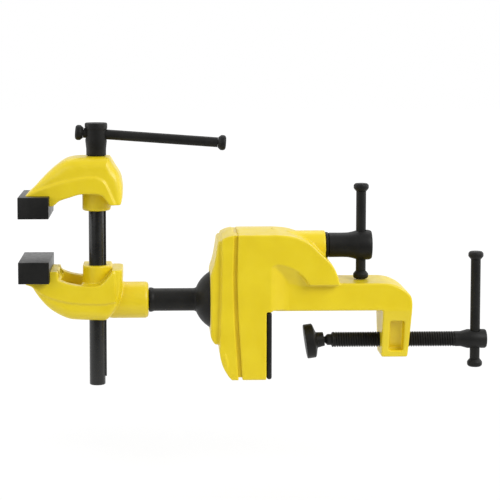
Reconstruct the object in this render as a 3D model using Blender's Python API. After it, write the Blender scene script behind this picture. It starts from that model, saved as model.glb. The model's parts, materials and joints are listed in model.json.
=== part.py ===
"""Multi-angle bench vise: bench clamp, ball joint, and two jaws on a keyed guide bar.

The origin lies on the face of the bench pad, on the axis of the clamp screw.
+X points from the bench pad to the clamp screw's handle, +Z points up, +Y points back.
"""

import math

import bmesh
import bpy
from mathutils import Matrix, Vector

# Clearances and facets
GAP = 0.0003
OVERRUN = 0.004
SINK = 0.0008
ROUND_SIDES = 32
SMALL_SIDES = 16
CURVE_STEPS = 4
CROWN_STEPS = 4

# Ball joint
BALL_RADIUS = 0.0260
BALL_BACK = 0.0353
BALL_RISE = 0.0335
BALL_PLAY = 0.0005
OPENING_RADIUS = 0.0231
STEM_RADIUS = 0.0091
STEM_LENGTH = 0.0619
STEM_COLLAR_RADIUS = 0.0098
STEM_COLLAR_WIDTH = 0.0027
SPIGOT_RADIUS = 0.0080
SPIGOT_LENGTH = 0.0180
SEAT_RADIUS = 0.0220
SEAT_WIDTH = 0.0080
SEAT_BACK = 0.0110
SEAT_HOLE_RADIUS = 0.0104

# Clamp frame
HOUSING_WALL = 0.0045
HOUSING_TOP = 0.0888
HOUSING_BOTTOM = -0.0259
HOUSING_ROUND = 0.0035
SHOULDER_START = 0.0050
SHOULDER_LENGTH = 0.0480
CHEEK_RADIUS = 0.0298
CHEEK_CENTRE_X = 0.0030
CHEEK_CENTRE_RISE = 0.0071
SPLIT_BACK = 0.0262
SPLIT_LEAN = 0.0034
SPLIT_GAP = 0.0026
TONGUE_GAP = 0.0006
TONGUE_INSET = 0.0030
BEAM_HALF = 0.0240
BEAM_BOTTOM = 0.0279
BEAM_HEIGHT = 0.0213
BEAM_START = -0.0150
ARCH_WEB_TOP = 0.0735
ARCH_WEB_END = 0.0420
BEAM_ROUND = 0.0020
LEG_INNER = 0.0889
LEG_OUTER = 0.1124
LEG_LEAN = 0.0022
LEG_BOTTOM = -0.0121
LEG_FOOT_HALF = 0.0130
CORNER_RADIUS = 0.0190
POCKET_INNER_WALL = 0.0060
POCKET_OUTER_WALL = 0.0060
POCKET_TOP = 0.0183
POCKET_BOTTOM = -0.0067
POCKET_DEPTH = 0.0045
BENCH_PAD_THICKNESS = 0.0040
BENCH_PAD_TOP = 0.0272
BENCH_PAD_BOTTOM = -0.0266
BENCH_PAD_HALF = 0.0290

# Clamp cover
COVER_DEPTH = 0.0095
COVER_PLATE_FACE = 0.0482
COVER_PLATE_INSET = 0.0023
COVER_PLATE_TOP = 0.0868
COVER_PLATE_BOTTOM = 0.0012
COVER_ROUND = 0.0030
ROCKER_RADIUS = 0.0032
ROCKER_HALF = 0.0220
ROCKER_RISE = 0.0089

# Lock screw
LOCK_RISE = 0.0771
LOCK_BOSS_RADIUS = 0.0118
LOCK_BOSS_START = 0.0140
LOCK_BOSS_END = 0.0443
LOCK_SHANK_RADIUS = 0.0050
LOCK_SHANK_END = -0.0390
LOCK_HUB_START = 0.0469
LOCK_HUB_LENGTH = 0.0348
LOCK_HUB_NECK = 0.0099
LOCK_HUB_RADIUS = 0.0120
LOCK_WASHER_RADIUS = 0.0104
LOCK_BAR_X = 0.0734
LOCK_BAR_LENGTH = 0.0770
LOCK_NUT_HALF = 0.0075
LOCK_NUT_WIDTH = 0.0065
LOCK_NUT_BACK = 0.0303

# Handles
ROD_RADIUS = 0.0040
KNOB_RADIUS = 0.0061
KNOB_LENGTH = 0.0062
ROD_PLAY = 0.0009

# Clamp screw
SCREW_RADIUS = 0.0058
SCREW_START = 0.0498
SCREW_END = 0.1548
SCREW_PLAY = 0.0003
NOSE_COLLAR_RADIUS = 0.0045
NOSE_COLLAR_WIDTH = 0.0036
NOSE_PIN_RADIUS = 0.0024
CLAMP_BAR_X = 0.1668
HEAD_NEAR_LENGTH = 0.0063
HEAD_FAR_LENGTH = 0.0091
HEAD_RADIUS = 0.0077
CLAMP_BAR_LENGTH = 0.0940
CLAMP_BAR_RISE = 0.0243
THRUST_BALL_RADIUS = 0.0042
THRUST_BALL_X = 0.0400
CUP_RADIUS = 0.0056
CUP_END = 0.0035
SHOE_RADIUS = 0.0132
SHOE_THICKNESS = 0.0072
SHOE_BACK = 0.0037
SHOE_TILT = math.radians(8.2)

# Head: guide bar, jaws and pads
BAR_SETBACK = 0.0416
BAR_RADIUS = 0.0060
BAR_BORE_RADIUS = 0.0044
BAR_BOTTOM = -0.0350
BAR_SEAT_SHARE = 0.7
RIB_REACH = 0.0075
RIB_HALF = 0.0016
RIB_BOTTOM = -0.0282
SLOT_HALF = 0.0026
SLOT_BOTTOM = -0.0080
SLOT_TOP = 0.0850
SPINDLE_RADIUS = 0.0037
SPINDLE_BOTTOM = -0.0200
SPINDLE_NECK_RADIUS = 0.0050
SPINDLE_GROOVE_RADIUS = 0.0032
GROOVE_HALF = 0.0018
HUB_CLEARANCE = 0.0004
HUB_HEIGHT = 0.0262
HUB_RADIUS = 0.0090
JAW_BAR_LENGTH = 0.1202
JAW_BAR_DROOP = math.radians(4.2)
JAW_BAR_SLACK = 0.0013
JAW_BAR_RISE = 0.0142
JAW_REACH = 0.0558
JAW_WEB_HALF = 0.0225
JAW_BAND_HALF = 0.0210
JAW_ROUND = 0.0022
JAW_CROWN = 0.0090
UPPER_JAW_BOTTOM = 0.1117
UPPER_JAW_HEIGHT = 0.0376
UPPER_BOSS_BOTTOM = 0.1060
LOWER_JAW_BOTTOM = 0.0206
LOWER_JAW_HEIGHT = 0.0399
LOWER_BOSS_TOP = 0.0620
BOSS_RADIUS = 0.0109
STEM_BOSS_RADIUS = 0.0146
STEM_BOSS_SINK = 0.0010
JAW_PAD_LENGTH = 0.0242
JAW_PAD_HEIGHT = 0.0170
JAW_PAD_HALF = 0.0320
JAW_PAD_BACK_SHARE = 0.6487
UPPER_SEAT_SHARE = 0.2101
LOWER_PAD_BOTTOM = 0.0512
CHANNEL_HALF = 0.0130
CHANNEL_DEPTH = 0.0060
PIN_RADIUS = 0.0015
NUT_BOTTOM = 0.0320
NUT_HEIGHT = 0.0110
NUT_BACK = 0.0130
GRUB_RADIUS = 0.0040
GRUB_LENGTH = 0.0070
GRUB_SOCKET_RADIUS = 0.0021
PAD_SCREW_RADIUS = 0.0016
PAD_SCREW_HEAD_RADIUS = 0.0030
PAD_SCREW_HEAD_WIDTH = 0.0020
PAD_SCREW_BITE = 0.0080
PAD_SCREW_SPREAD = 0.0120

# Outlines as shares of the named sizes: (along, up)
SPLIT_SHARES = ((1.0, 0.0), (0.84, -0.18), (0.69, -0.24), (0.52, -0.1), (0.35, 0.18), (0.07, 0.82), (0.0, 1.0))
SHOULDER_SHARES = (
    (0.0, 1.0), (0.19, 0.985), (0.35, 0.95), (0.52, 0.82), (0.69, 0.62), (0.85, 0.42), (0.95, 0.2), (1.0, 0.0),
)
COVER_FRONT_SHARES = (
    (1.0, 0.5), (0.985, 0.95), (0.95, 1.16), (0.75, 1.14), (0.23, 1.1), (0.08, 0.95), (0.02, 0.68), (0.0, 0.5),
)
COVER_PLATE_SHARES = (
    (1.0, 0.40), (1.0, 0.66), (0.97, 0.705), (0.88, 0.73), (0.79, 0.785), (0.72, 0.85), (0.665, 0.93),
    (0.625, 1.0), (0.13, 1.0), (0.06, 0.93), (0.01, 0.83), (0.0, 0.80), (0.0, 0.30),
)
UPPER_OUTER_SHARES = (
    (-1.0, 0.207), (-0.914, 0.346), (-0.811, 0.516), (-0.696, 0.686), (-0.595, 0.816), (-0.466, 0.944),
    (-0.353, 0.99), (-0.21, 1.0), (0.17, 1.0), (0.225, 0.97), (0.291, 0.81), (0.354, 0.617), (0.376, 0.383),
    (0.372, 0.15), (0.356, 0.0),
)
UPPER_RIDGE_SHARES = (
    (0.284, 0.0), (0.173, 0.378), (0.117, 0.513), (0.018, 0.588), (-0.079, 0.598), (-0.221, 0.577),
    (-0.361, 0.537), (-0.502, 0.487), (-0.644, 0.423), (-0.784, 0.351),
)
UPPER_UNDER_SHARES = (
    (0.196, 0.0), (0.14, 0.12), (0.06, 0.22), (-0.194, 0.245), (-0.363, 0.2), (-0.504, 0.144),
    (-0.54, 0.066), (-0.6, -0.016),
)
LOWER_OUTER_SHARES = (
    (-1.0, 0.712), (-0.905, 0.665), (-0.86, 0.57), (-0.79, 0.415), (-0.679, 0.235), (-0.538, 0.11),
    (-0.396, 0.035), (-0.253, 0.008), (-0.011, 0.0), (0.125, 0.006), (0.185, 0.06), (0.257, 0.19),
    (0.328, 0.39), (0.369, 0.69), (0.37, 0.992),
)
LOWER_INNER_SHARES = (
    (0.228, 0.992), (0.214, 0.923), (0.178, 0.869), (0.135, 0.796), (0.086, 0.73), (0.029, 0.685),
    (-0.126, 0.674), (-0.344, 0.712), (-0.464, 0.765), (-0.53, 0.82), (-0.538, 0.975),
)
CROWN_SHARE = 0.55
LOWER_RIDGE_SHARES = (
    (0.28, 0.36), (0.15, 0.325), (0.007, 0.315), (-0.371, 0.35), (-0.651, 0.45), (-0.791, 0.545),
)
KNOB_SHARES = ((0.0, 0.72), (0.4, 1.0), (0.72, 1.0), (1.0, 0.78))
HUB_SHARES = ((0.0, 0.88), (0.2, 0.88), (0.45, 0.955), (0.78, 0.955), (0.82, 1.0), (0.97, 1.0), (1.0, 0.93))
LOCK_HUB_SHARES = ((0.0, 0.0), (0.38, 0.0), (0.52, 0.25), (0.66, 0.85), (0.72, 1.0), (0.93, 1.0), (1.0, 0.55))


def clear_scene():
    for old in list(bpy.data.objects):
        bpy.data.objects.remove(old, do_unlink=True)


def material(name, colour, roughness, metallic):
    made = bpy.data.materials.new(name)
    made.use_nodes = True
    shader = made.node_tree.nodes["Principled BSDF"]
    shader.inputs["Base Color"].default_value = (*colour, 1.0)
    shader.inputs["Roughness"].default_value = roughness
    shader.inputs["Metallic"].default_value = metallic
    return made


def new_object(name, mesh_bm):
    bmesh.ops.recalc_face_normals(mesh_bm, faces=mesh_bm.faces)
    mesh = bpy.data.meshes.new(name)
    mesh_bm.to_mesh(mesh)
    mesh_bm.free()
    mesh.shade_smooth()
    mesh.set_sharp_from_angle(angle=math.radians(35))
    made = bpy.data.objects.new(name, mesh)
    bpy.context.scene.collection.objects.link(made)
    return made


def smooth_line(points, steps=CURVE_STEPS):
    """A curve through the points, each stretch split into equal steps."""
    rounded = []
    last = len(points) - 1
    for i in range(last):
        before = points[max(i - 1, 0)]
        start, end = points[i], points[i + 1]
        after = points[min(i + 2, last)]
        for k in range(steps):
            t = k / steps
            rounded.append(
                tuple(
                    0.5
                    * (
                        2 * b
                        + (c - a) * t
                        + (2 * a - 5 * b + 4 * c - d) * t * t
                        + (3 * b - a - 3 * c + d) * t * t * t
                    )
                    for a, b, c, d in zip(before, start, end, after)
                )
            )
    rounded.append(points[last])
    return rounded


def scaled(shares, x, width, z, height):
    return [(x + width * a, z + height * b) for a, b in shares]


def prism(name, outline, low, high, plane="XZ"):
    """The outline, drawn in the plane, drawn out between low and high along the third axis."""
    shape = bmesh.new()
    ends = []
    for depth in (low, high):
        places = [(a, depth, b) if plane == "XZ" else (depth, a, b) for a, b in outline]
        ends.append([shape.verts.new(place) for place in places])
    shape.faces.new(ends[0])
    shape.faces.new(ends[1])
    for i in range(len(outline)):
        j = (i + 1) % len(outline)
        shape.faces.new((ends[0][i], ends[0][j], ends[1][j], ends[1][i]))
    return new_object(name, shape)


def box(name, low, high):
    outline = [(low[0], low[2]), (high[0], low[2]), (high[0], high[2]), (low[0], high[2])]
    return prism(name, outline, low[1], high[1])


def turned_into(shape, profile, origin, axis, closed=False, sides=ROUND_SIDES):
    """Adds a body of revolution: profile points are (along the axis, radius)."""
    axis = Vector(axis).normalized()
    side = axis.cross(Vector((0, 1, 0)))
    side = side.normalized() if side.length > 0.5 else Vector((1, 0, 0))
    other = axis.cross(side)
    origin = Vector(origin)
    rings = []
    for along, radius in profile:
        centre = origin + axis * along
        if radius == 0:
            rings.append([shape.verts.new(centre)])
            continue
        ring = []
        for k in range(sides):
            angle = 2 * math.pi * (k + 0.5) / sides
            ring.append(shape.verts.new(centre + (side * math.cos(angle) + other * math.sin(angle)) * radius))
        rings.append(ring)
    pairs = list(zip(rings, rings[1:]))
    if closed:
        pairs.append((rings[-1], rings[0]))
    else:
        for ring in (rings[0], rings[-1]):
            if len(ring) > 1:
                shape.faces.new(ring)
    for one, two in pairs:
        for k in range(sides):
            j = (k + 1) % sides
            if len(one) == 1:
                shape.faces.new((one[0], two[k], two[j]))
            elif len(two) == 1:
                shape.faces.new((one[k], one[j], two[0]))
            else:
                shape.faces.new((one[k], one[j], two[j], two[k]))


def turned(name, profile, origin, axis, closed=False, sides=ROUND_SIDES):
    shape = bmesh.new()
    turned_into(shape, profile, origin, axis, closed, sides)
    return new_object(name, shape)


def rod(name, start, end, radius, sides=ROUND_SIDES):
    start, end = Vector(start), Vector(end)
    return turned(name, [(0, radius), ((end - start).length, radius)], start, end - start, sides=sides)


def arc_profile(centre, radius, start, end, steps):
    """Profile points (along, radius) on a sphere about centre, by angle from the axis."""
    points = []
    for k in range(steps + 1):
        angle = start + (end - start) * k / steps
        points.append((centre + radius * math.cos(angle), radius * math.sin(angle)))
    return points


def round_edges(target, width, segments=2, angle=50):
    bevel = target.modifiers.new("edge_round", "BEVEL")
    bevel.width = width
    bevel.segments = segments
    bevel.limit_method = "ANGLE"
    bevel.angle_limit = math.radians(angle)
    return target


def apply_boolean(target, other, operation):
    other.hide_render = True
    other.hide_set(True)
    other.display_type = "WIRE"
    step = target.modifiers.new(other.name, "BOOLEAN")
    step.operation = operation
    step.solver = "EXACT"
    step.object = other


def join(target, *others):
    for other in others:
        apply_boolean(target, other, "UNION")
    return target


def cut(target, *others):
    for other in others:
        apply_boolean(target, other, "DIFFERENCE")
    return target


def joint_empty(name, point):
    made = bpy.data.objects.new(name, None)
    made.location = point
    bpy.context.scene.collection.objects.link(made)
    return made


def carry(empty, finish, *pieces):
    """Gives each piece its finish and hangs it on the empty, with its origin there."""
    for piece in pieces:
        piece.data.materials.clear()
        piece.data.materials.append(finish)
        piece.data.transform(Matrix.Translation(-empty.location))
        piece.parent = empty


def handle_bar(name, middle, direction, length):
    """A handle: a rod with a spigot at each end, and a knob for each end. Returns the three pieces."""
    direction = Vector(direction).normalized()
    middle = Vector(middle)
    start = middle - direction * (length / 2)
    spigot_radius = ROD_RADIUS / 2
    spigot_length = KNOB_LENGTH / 2
    inner = KNOB_LENGTH + GAP
    bar = turned(
        name,
        [
            (inner - spigot_length, spigot_radius),
            (inner, spigot_radius),
            (inner, ROD_RADIUS),
            (length - inner, ROD_RADIUS),
            (length - inner, spigot_radius),
            (length - inner + spigot_length, spigot_radius),
        ],
        start,
        direction,
        sides=SMALL_SIDES,
    )
    pieces = [bar]
    bore = spigot_radius + GAP
    depth = spigot_length + GAP
    profile = [(depth, 0), (depth, bore), (0, bore)]
    profile += [(KNOB_LENGTH * a, KNOB_RADIUS * r) for a, r in KNOB_SHARES]
    profile += [(KNOB_LENGTH, 0)]
    for sign, end in ((1, "_knob_end"), (-1, "_knob_start")):
        face = middle + direction * (sign * (length / 2 - KNOB_LENGTH))
        pieces.append(turned(name + end, profile, face, direction * sign, sides=SMALL_SIDES))
    return pieces


def split_line(offset):
    height = HOUSING_TOP - HOUSING_BOTTOM
    line = [(-SPLIT_BACK + SPLIT_LEAN * lean, HOUSING_BOTTOM + height * up) for up, lean in SPLIT_SHARES]
    return [(x - offset, z) for x, z in smooth_line(line, 2)]


def sphere_face(radius, reach):
    """How far from a sphere's centre its surface has the radius reach."""
    return math.sqrt(radius * radius - reach * reach)


clear_scene()

cast_yellow = material("cast_yellow", (0.78, 0.62, 0.02), 0.42, 0.0)
black_steel = material("black_steel", (0.022, 0.022, 0.021), 0.45, 0.35)
black_rubber = material("black_rubber", (0.020, 0.020, 0.021), 0.70, 0.0)
bright_steel = material("bright_steel", (0.45, 0.45, 0.46), 0.30, 1.0)
seat_plastic = material("seat_plastic", (0.55, 0.53, 0.48), 0.50, 0.0)

BALL = Vector((-BALL_BACK, 0, BALL_RISE))
HOUSING_HALF = BALL_RADIUS + HOUSING_WALL
CUT_HALF = HOUSING_HALF + OVERRUN
BEAM_TOP = BEAM_BOTTOM + BEAM_HEIGHT
PAD_SEAT_X = -BENCH_PAD_THICKNESS - GAP
BAR_X = -BALL_BACK - STEM_LENGTH - BAR_SETBACK
BAR_TOP = UPPER_JAW_BOTTOM + UPPER_JAW_HEIGHT * BAR_SEAT_SHARE
hub_bottom = UPPER_JAW_BOTTOM + UPPER_JAW_HEIGHT + HUB_CLEARANCE
ROCKER_Z = HOUSING_BOTTOM + ROCKER_RISE

# Joint axes
frame_origin = joint_empty("frame_origin", (0, 0, 0))
rocker_x = -SPLIT_BACK + SPLIT_LEAN * 0.5 - SPLIT_GAP / 2
cover_axis = joint_empty("cover_axis", (rocker_x, 0, ROCKER_Z))
lock_axis = joint_empty("lock_axis", (LOCK_BAR_X, 0, LOCK_RISE))
ball_point = joint_empty("ball_point", BALL)
head_axis = joint_empty("head_axis", (BAR_X, 0, BALL_RISE))
jaw_axis = joint_empty("jaw_axis", (BAR_X, 0, UPPER_JAW_BOTTOM))
clamp_axis = joint_empty("clamp_axis", (CLAMP_BAR_X, 0, 0))
shoe_point = joint_empty("shoe_point", (THRUST_BALL_X, 0, 0))

# Clamp frame: housing and shoulder
split = split_line(0)
shoulder = smooth_line(
    scaled(SHOULDER_SHARES, SHOULDER_START, SHOULDER_LENGTH, BEAM_TOP - SINK, HOUSING_TOP - BEAM_TOP + SINK), 2
)
cheek_z = BEAM_BOTTOM + CHEEK_CENTRE_RISE
cheek_end = math.asin((BEAM_TOP - SINK - cheek_z) / CHEEK_RADIUS)
cheek = []
CHEEK_STEPS = 9
for k in range(CHEEK_STEPS + 1):
    angle = cheek_end + (math.pi / 2 - cheek_end) * k / CHEEK_STEPS
    cheek.append((CHEEK_CENTRE_X + CHEEK_RADIUS * math.cos(angle), cheek_z + CHEEK_RADIUS * math.sin(angle)))
cheek_foot_z = cheek_z + CHEEK_RADIUS * 0.93
housing_outline = [split[0]] + shoulder + cheek
housing_outline += [(0, cheek_foot_z), (0, HOUSING_BOTTOM)] + list(reversed(split))[:-1]
clamp_frame = prism("clamp_frame", housing_outline, -HOUSING_HALF, HOUSING_HALF)
round_edges(clamp_frame, HOUSING_ROUND, 3, 60)

# Clamp frame: beam with the web that closes the arch, and leg, narrowing down the leg
corner = []
CORNER_STEPS = 10
for k in range(CORNER_STEPS + 1):
    angle = math.pi / 2 * (1 - k / CORNER_STEPS)
    corner.append(
        (
            LEG_OUTER - CORNER_RADIUS + CORNER_RADIUS * math.cos(angle),
            BEAM_TOP - CORNER_RADIUS + CORNER_RADIUS * math.sin(angle),
        )
    )
beam_outline = [(BEAM_START, ARCH_WEB_TOP), (CHEEK_CENTRE_X, ARCH_WEB_TOP), (ARCH_WEB_END, BEAM_TOP)] + corner
beam_outline += [(LEG_OUTER - LEG_LEAN, LEG_BOTTOM), (LEG_INNER, LEG_BOTTOM), (LEG_INNER, BEAM_BOTTOM)]
beam_outline += [(BEAM_START, BEAM_BOTTOM)]
beam = round_edges(prism("beam_stock", beam_outline, -BEAM_HALF, BEAM_HALF), BEAM_ROUND, 2, 60)
leg_slope = (BEAM_HALF - LEG_FOOT_HALF) / (BEAM_BOTTOM - LEG_BOTTOM)
leg_reach = LEG_OUTER + OVERRUN
pocket_left = LEG_INNER + POCKET_INNER_WALL
pocket_right = LEG_OUTER - POCKET_OUTER_WALL


def leg_half(z):
    return LEG_FOOT_HALF + leg_slope * (z - LEG_BOTTOM)


leg_cuts = []
for sign, side in ((-1, "near"), (1, "far")):
    wedge_low = LEG_BOTTOM - OVERRUN
    wedge_high = BEAM_BOTTOM + 2 * OVERRUN
    wide = sign * (BEAM_HALF + 2 * OVERRUN)
    wedge = [
        (sign * leg_half(wedge_low), wedge_low),
        (sign * leg_half(wedge_high), wedge_high),
        (wide, wedge_high),
        (wide, wedge_low),
    ]
    leg_cuts.append(prism("leg_taper_" + side, wedge, LEG_INNER - OVERRUN, leg_reach, "YZ"))
    recess = [
        (sign * (leg_half(POCKET_BOTTOM) - POCKET_DEPTH), POCKET_BOTTOM),
        (sign * (leg_half(POCKET_TOP) - POCKET_DEPTH), POCKET_TOP),
        (wide, POCKET_TOP),
        (wide, POCKET_BOTTOM),
    ]
    leg_cuts.append(prism("leg_pocket_" + side, recess, pocket_left, pocket_right, "YZ"))
cut(beam, *leg_cuts)

lock_boss = rod(
    "lock_boss_stock", (LOCK_BOSS_START, 0, LOCK_RISE), (LOCK_BOSS_END, 0, LOCK_RISE), LOCK_BOSS_RADIUS
)
ball_bore = BALL_RADIUS + BALL_PLAY
seat_front = -SEAT_BACK - SEAT_WIDTH - GAP
frame_cavity = turned(
    "frame_cavity",
    [
        (-BALL_BACK, ball_bore),
        (seat_front, ball_bore),
        (seat_front, SEAT_RADIUS + GAP),
        (-SEAT_BACK + GAP, SEAT_RADIUS + GAP),
        (-SEAT_BACK + GAP, SEAT_HOLE_RADIUS),
        (-BALL_BACK + ball_bore, SEAT_HOLE_RADIUS),
    ],
    (0, 0, BALL_RISE),
    (1, 0, 0),
)
lock_bore_radius = LOCK_SHANK_RADIUS + ROD_PLAY / 2
frame_lock_bore = rod(
    "frame_lock_bore",
    (-SPLIT_BACK - OVERRUN, 0, LOCK_RISE),
    (LOCK_BOSS_END + OVERRUN, 0, LOCK_RISE),
    lock_bore_radius,
    SMALL_SIDES,
)
leg_bore = rod(
    "leg_bore",
    (LEG_INNER - OVERRUN, 0, 0),
    (leg_reach, 0, 0),
    SCREW_RADIUS + SCREW_PLAY,
)
rocker_groove = rod(
    "frame_rocker_groove",
    (rocker_x, -ROCKER_HALF - GAP, ROCKER_Z),
    (rocker_x, ROCKER_HALF + GAP, ROCKER_Z),
    ROCKER_RADIUS + GAP,
    SMALL_SIDES,
)
pad_recess = box(
    "pad_recess",
    (PAD_SEAT_X, -CUT_HALF, HOUSING_BOTTOM - OVERRUN),
    (OVERRUN, CUT_HALF, BENCH_PAD_TOP + GAP),
)
join(clamp_frame, beam, lock_boss)
cut(clamp_frame, pad_recess, frame_cavity, frame_lock_bore, leg_bore, rocker_groove)

# Bench pad, rear ball seat, rocker pin and lock washer
bench_pad = round_edges(
    box(
        "bench_pad",
        (-BENCH_PAD_THICKNESS, -BENCH_PAD_HALF, BENCH_PAD_BOTTOM),
        (0, BENCH_PAD_HALF, BENCH_PAD_TOP),
    ),
    BENCH_PAD_THICKNESS / 4,
    2,
)
seat_sphere = BALL_RADIUS + GAP
seat_inner_front = BALL_BACK - SEAT_BACK - SEAT_WIDTH
seat_inner_back = BALL_BACK - SEAT_BACK
angle_front = math.acos(seat_inner_front / seat_sphere)
angle_back = math.acos(seat_inner_back / seat_sphere)
ball_seat = turned(
    "ball_seat",
    arc_profile(0, seat_sphere, angle_front, angle_back, 8)
    + [(seat_inner_back, SEAT_RADIUS), (seat_inner_front, SEAT_RADIUS)],
    BALL,
    (1, 0, 0),
    closed=True,
)
rocker_pin = rod(
    "cover_rocker_pin",
    (rocker_x, -ROCKER_HALF, ROCKER_Z),
    (rocker_x, ROCKER_HALF, ROCKER_Z),
    ROCKER_RADIUS,
    SMALL_SIDES,
)
washer_bore = lock_bore_radius
washer_start = LOCK_BOSS_END + GAP
washer_end = LOCK_HUB_START - GAP
lock_washer = turned(
    "lock_washer",
    [
        (washer_start, washer_bore),
        (washer_end, washer_bore),
        (washer_end, LOCK_WASHER_RADIUS),
        (washer_start, LOCK_WASHER_RADIUS),
    ],
    (0, 0, LOCK_RISE),
    (1, 0, 0),
    closed=True,
)
carry(frame_origin, cast_yellow, clamp_frame)
carry(frame_origin, black_rubber, bench_pad)
carry(frame_origin, black_steel, lock_washer)
carry(frame_origin, bright_steel, rocker_pin)
carry(ball_point, seat_plastic, ball_seat)

# Front cover in two steps, the nut in it, and the opening for the ball
cover_height = HOUSING_TOP - HOUSING_BOTTOM
cover_back = split_line(SPLIT_GAP)
cover_front = [
    (-SPLIT_BACK - SPLIT_GAP - COVER_DEPTH * depth, HOUSING_BOTTOM + cover_height * up)
    for up, depth in COVER_FRONT_SHARES
]
cover_outline = cover_back + list(reversed(smooth_line(cover_front, 2)))
front_cover = prism("front_cover", cover_outline, -HOUSING_HALF, HOUSING_HALF)
round_edges(front_cover, COVER_ROUND, 3, 60)
plate_height = COVER_PLATE_TOP - COVER_PLATE_BOTTOM
plate_reach = COVER_PLATE_FACE - SPLIT_BACK
plate_half = HOUSING_HALF - COVER_PLATE_INSET
plate_outline = []
for up, depth in COVER_PLATE_SHARES:
    plate_outline.append((-SPLIT_BACK - plate_reach * depth, COVER_PLATE_BOTTOM + plate_height * up))
cover_plate = prism("cover_plate_stock", plate_outline, -plate_half, plate_half)
round_edges(cover_plate, COVER_ROUND / 2, 2, 80)
opening_x = sphere_face(ball_bore, OPENING_RADIUS)
opening_angle = math.pi - math.atan2(OPENING_RADIUS, opening_x)
cover_cavity = turned(
    "cover_cavity",
    [(BALL_BACK - SPLIT_BACK + OVERRUN, ball_bore)]
    + arc_profile(0, ball_bore, math.pi / 2, opening_angle, 10)
    + [(-opening_x - OVERRUN, OPENING_RADIUS)],
    BALL,
    (1, 0, 0),
)
nut_front = -LOCK_NUT_BACK - LOCK_NUT_WIDTH
nut_pocket_half = LOCK_NUT_HALF + GAP
nut_pocket = box(
    "nut_pocket",
    (nut_front - GAP, -nut_pocket_half, LOCK_RISE - nut_pocket_half),
    (-SPLIT_BACK, nut_pocket_half, LOCK_RISE + nut_pocket_half),
)
cover_lock_bore = rod(
    "cover_lock_bore",
    (LOCK_SHANK_END - GAP, 0, LOCK_RISE),
    (-SPLIT_BACK, 0, LOCK_RISE),
    lock_bore_radius,
    SMALL_SIDES,
)
cover_groove = rod(
    "cover_rocker_groove",
    (rocker_x, -ROCKER_HALF - GAP, ROCKER_Z),
    (rocker_x, ROCKER_HALF + GAP, ROCKER_Z),
    ROCKER_RADIUS + GAP,
    SMALL_SIDES,
)
tongue_low = HOUSING_BOTTOM + TONGUE_INSET
tongue_high = HOUSING_TOP - TONGUE_INSET
tongue_face = [(x, z) for x, z in split_line(TONGUE_GAP) if tongue_low < z < tongue_high]
tongue_back = [(x, z) for x, z in split_line(SPLIT_GAP + OVERRUN / 2) if tongue_low < z < tongue_high]
tongue_half = HOUSING_HALF - TONGUE_INSET
tongue_outline = tongue_face + list(reversed(tongue_back))
cover_tongue = prism("cover_tongue_stock", tongue_outline, -tongue_half, tongue_half)
join(front_cover, cover_plate, cover_tongue)
cut(front_cover, cover_cavity, nut_pocket, cover_lock_bore, cover_groove)
lock_nut = box(
    "lock_nut",
    (nut_front, -LOCK_NUT_HALF, LOCK_RISE - LOCK_NUT_HALF),
    (nut_front + LOCK_NUT_WIDTH, LOCK_NUT_HALF, LOCK_RISE + LOCK_NUT_HALF),
)
nut_bore = rod(
    "nut_bore",
    (nut_front - OVERRUN, 0, LOCK_RISE),
    (nut_front + LOCK_NUT_WIDTH + OVERRUN, 0, LOCK_RISE),
    LOCK_SHANK_RADIUS + GAP,
    SMALL_SIDES,
)
cut(lock_nut, nut_bore)
carry(cover_axis, cast_yellow, front_cover)
carry(cover_axis, bright_steel, lock_nut)

# Lock screw and its handle
lock_profile = [(LOCK_SHANK_END, 0), (LOCK_SHANK_END, LOCK_SHANK_RADIUS), (LOCK_HUB_START, LOCK_SHANK_RADIUS)]
lock_profile += [
    (LOCK_HUB_START + LOCK_HUB_LENGTH * a, LOCK_HUB_NECK + (LOCK_HUB_RADIUS - LOCK_HUB_NECK) * b)
    for a, b in LOCK_HUB_SHARES
]
lock_profile += [(LOCK_HUB_START + LOCK_HUB_LENGTH, 0)]
lock_screw = turned("lock_screw", lock_profile, (0, 0, LOCK_RISE), (1, 0, 0))
handle_hole = ROD_RADIUS + ROD_PLAY
lock_hole = rod(
    "lock_hole",
    (LOCK_BAR_X, 0, LOCK_RISE - LOCK_HUB_RADIUS - OVERRUN),
    (LOCK_BAR_X, 0, LOCK_RISE + LOCK_HUB_RADIUS + OVERRUN),
    handle_hole,
    SMALL_SIDES,
)
cut(lock_screw, lock_hole)
lock_bar_middle = (LOCK_BAR_X, 0, BEAM_TOP + 2 * GAP + LOCK_BAR_LENGTH / 2)
lock_handle = handle_bar("lock_handle", lock_bar_middle, (0, 0, 1), LOCK_BAR_LENGTH)
carry(lock_axis, black_steel, lock_screw, *lock_handle)

# Clamp screw, the ball on its nose, the shoe and the handle
head_start = CLAMP_BAR_X - HEAD_NEAR_LENGTH
head_end = CLAMP_BAR_X + HEAD_FAR_LENGTH
cup_sphere = THRUST_BALL_RADIUS + GAP
nose_start = SCREW_START - NOSE_COLLAR_WIDTH
nose_tip = THRUST_BALL_X - NOSE_PIN_RADIUS
clamp_screw = turned(
    "clamp_screw",
    [
        (nose_tip, 0),
        (nose_tip, NOSE_PIN_RADIUS),
        (nose_start, NOSE_PIN_RADIUS),
        (nose_start, NOSE_COLLAR_RADIUS),
        (SCREW_START, NOSE_COLLAR_RADIUS),
        (SCREW_START, SCREW_RADIUS),
        (SCREW_END, SCREW_RADIUS),
        (head_start, HEAD_RADIUS),
        (head_end, HEAD_RADIUS),
        (head_end, 0),
    ],
    (0, 0, 0),
    (1, 0, 0),
)
clamp_hole = rod(
    "clamp_hole",
    (CLAMP_BAR_X, 0, -HEAD_RADIUS - OVERRUN),
    (CLAMP_BAR_X, 0, HEAD_RADIUS + OVERRUN),
    handle_hole,
    SMALL_SIDES,
)
cut(clamp_screw, clamp_hole)
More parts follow.
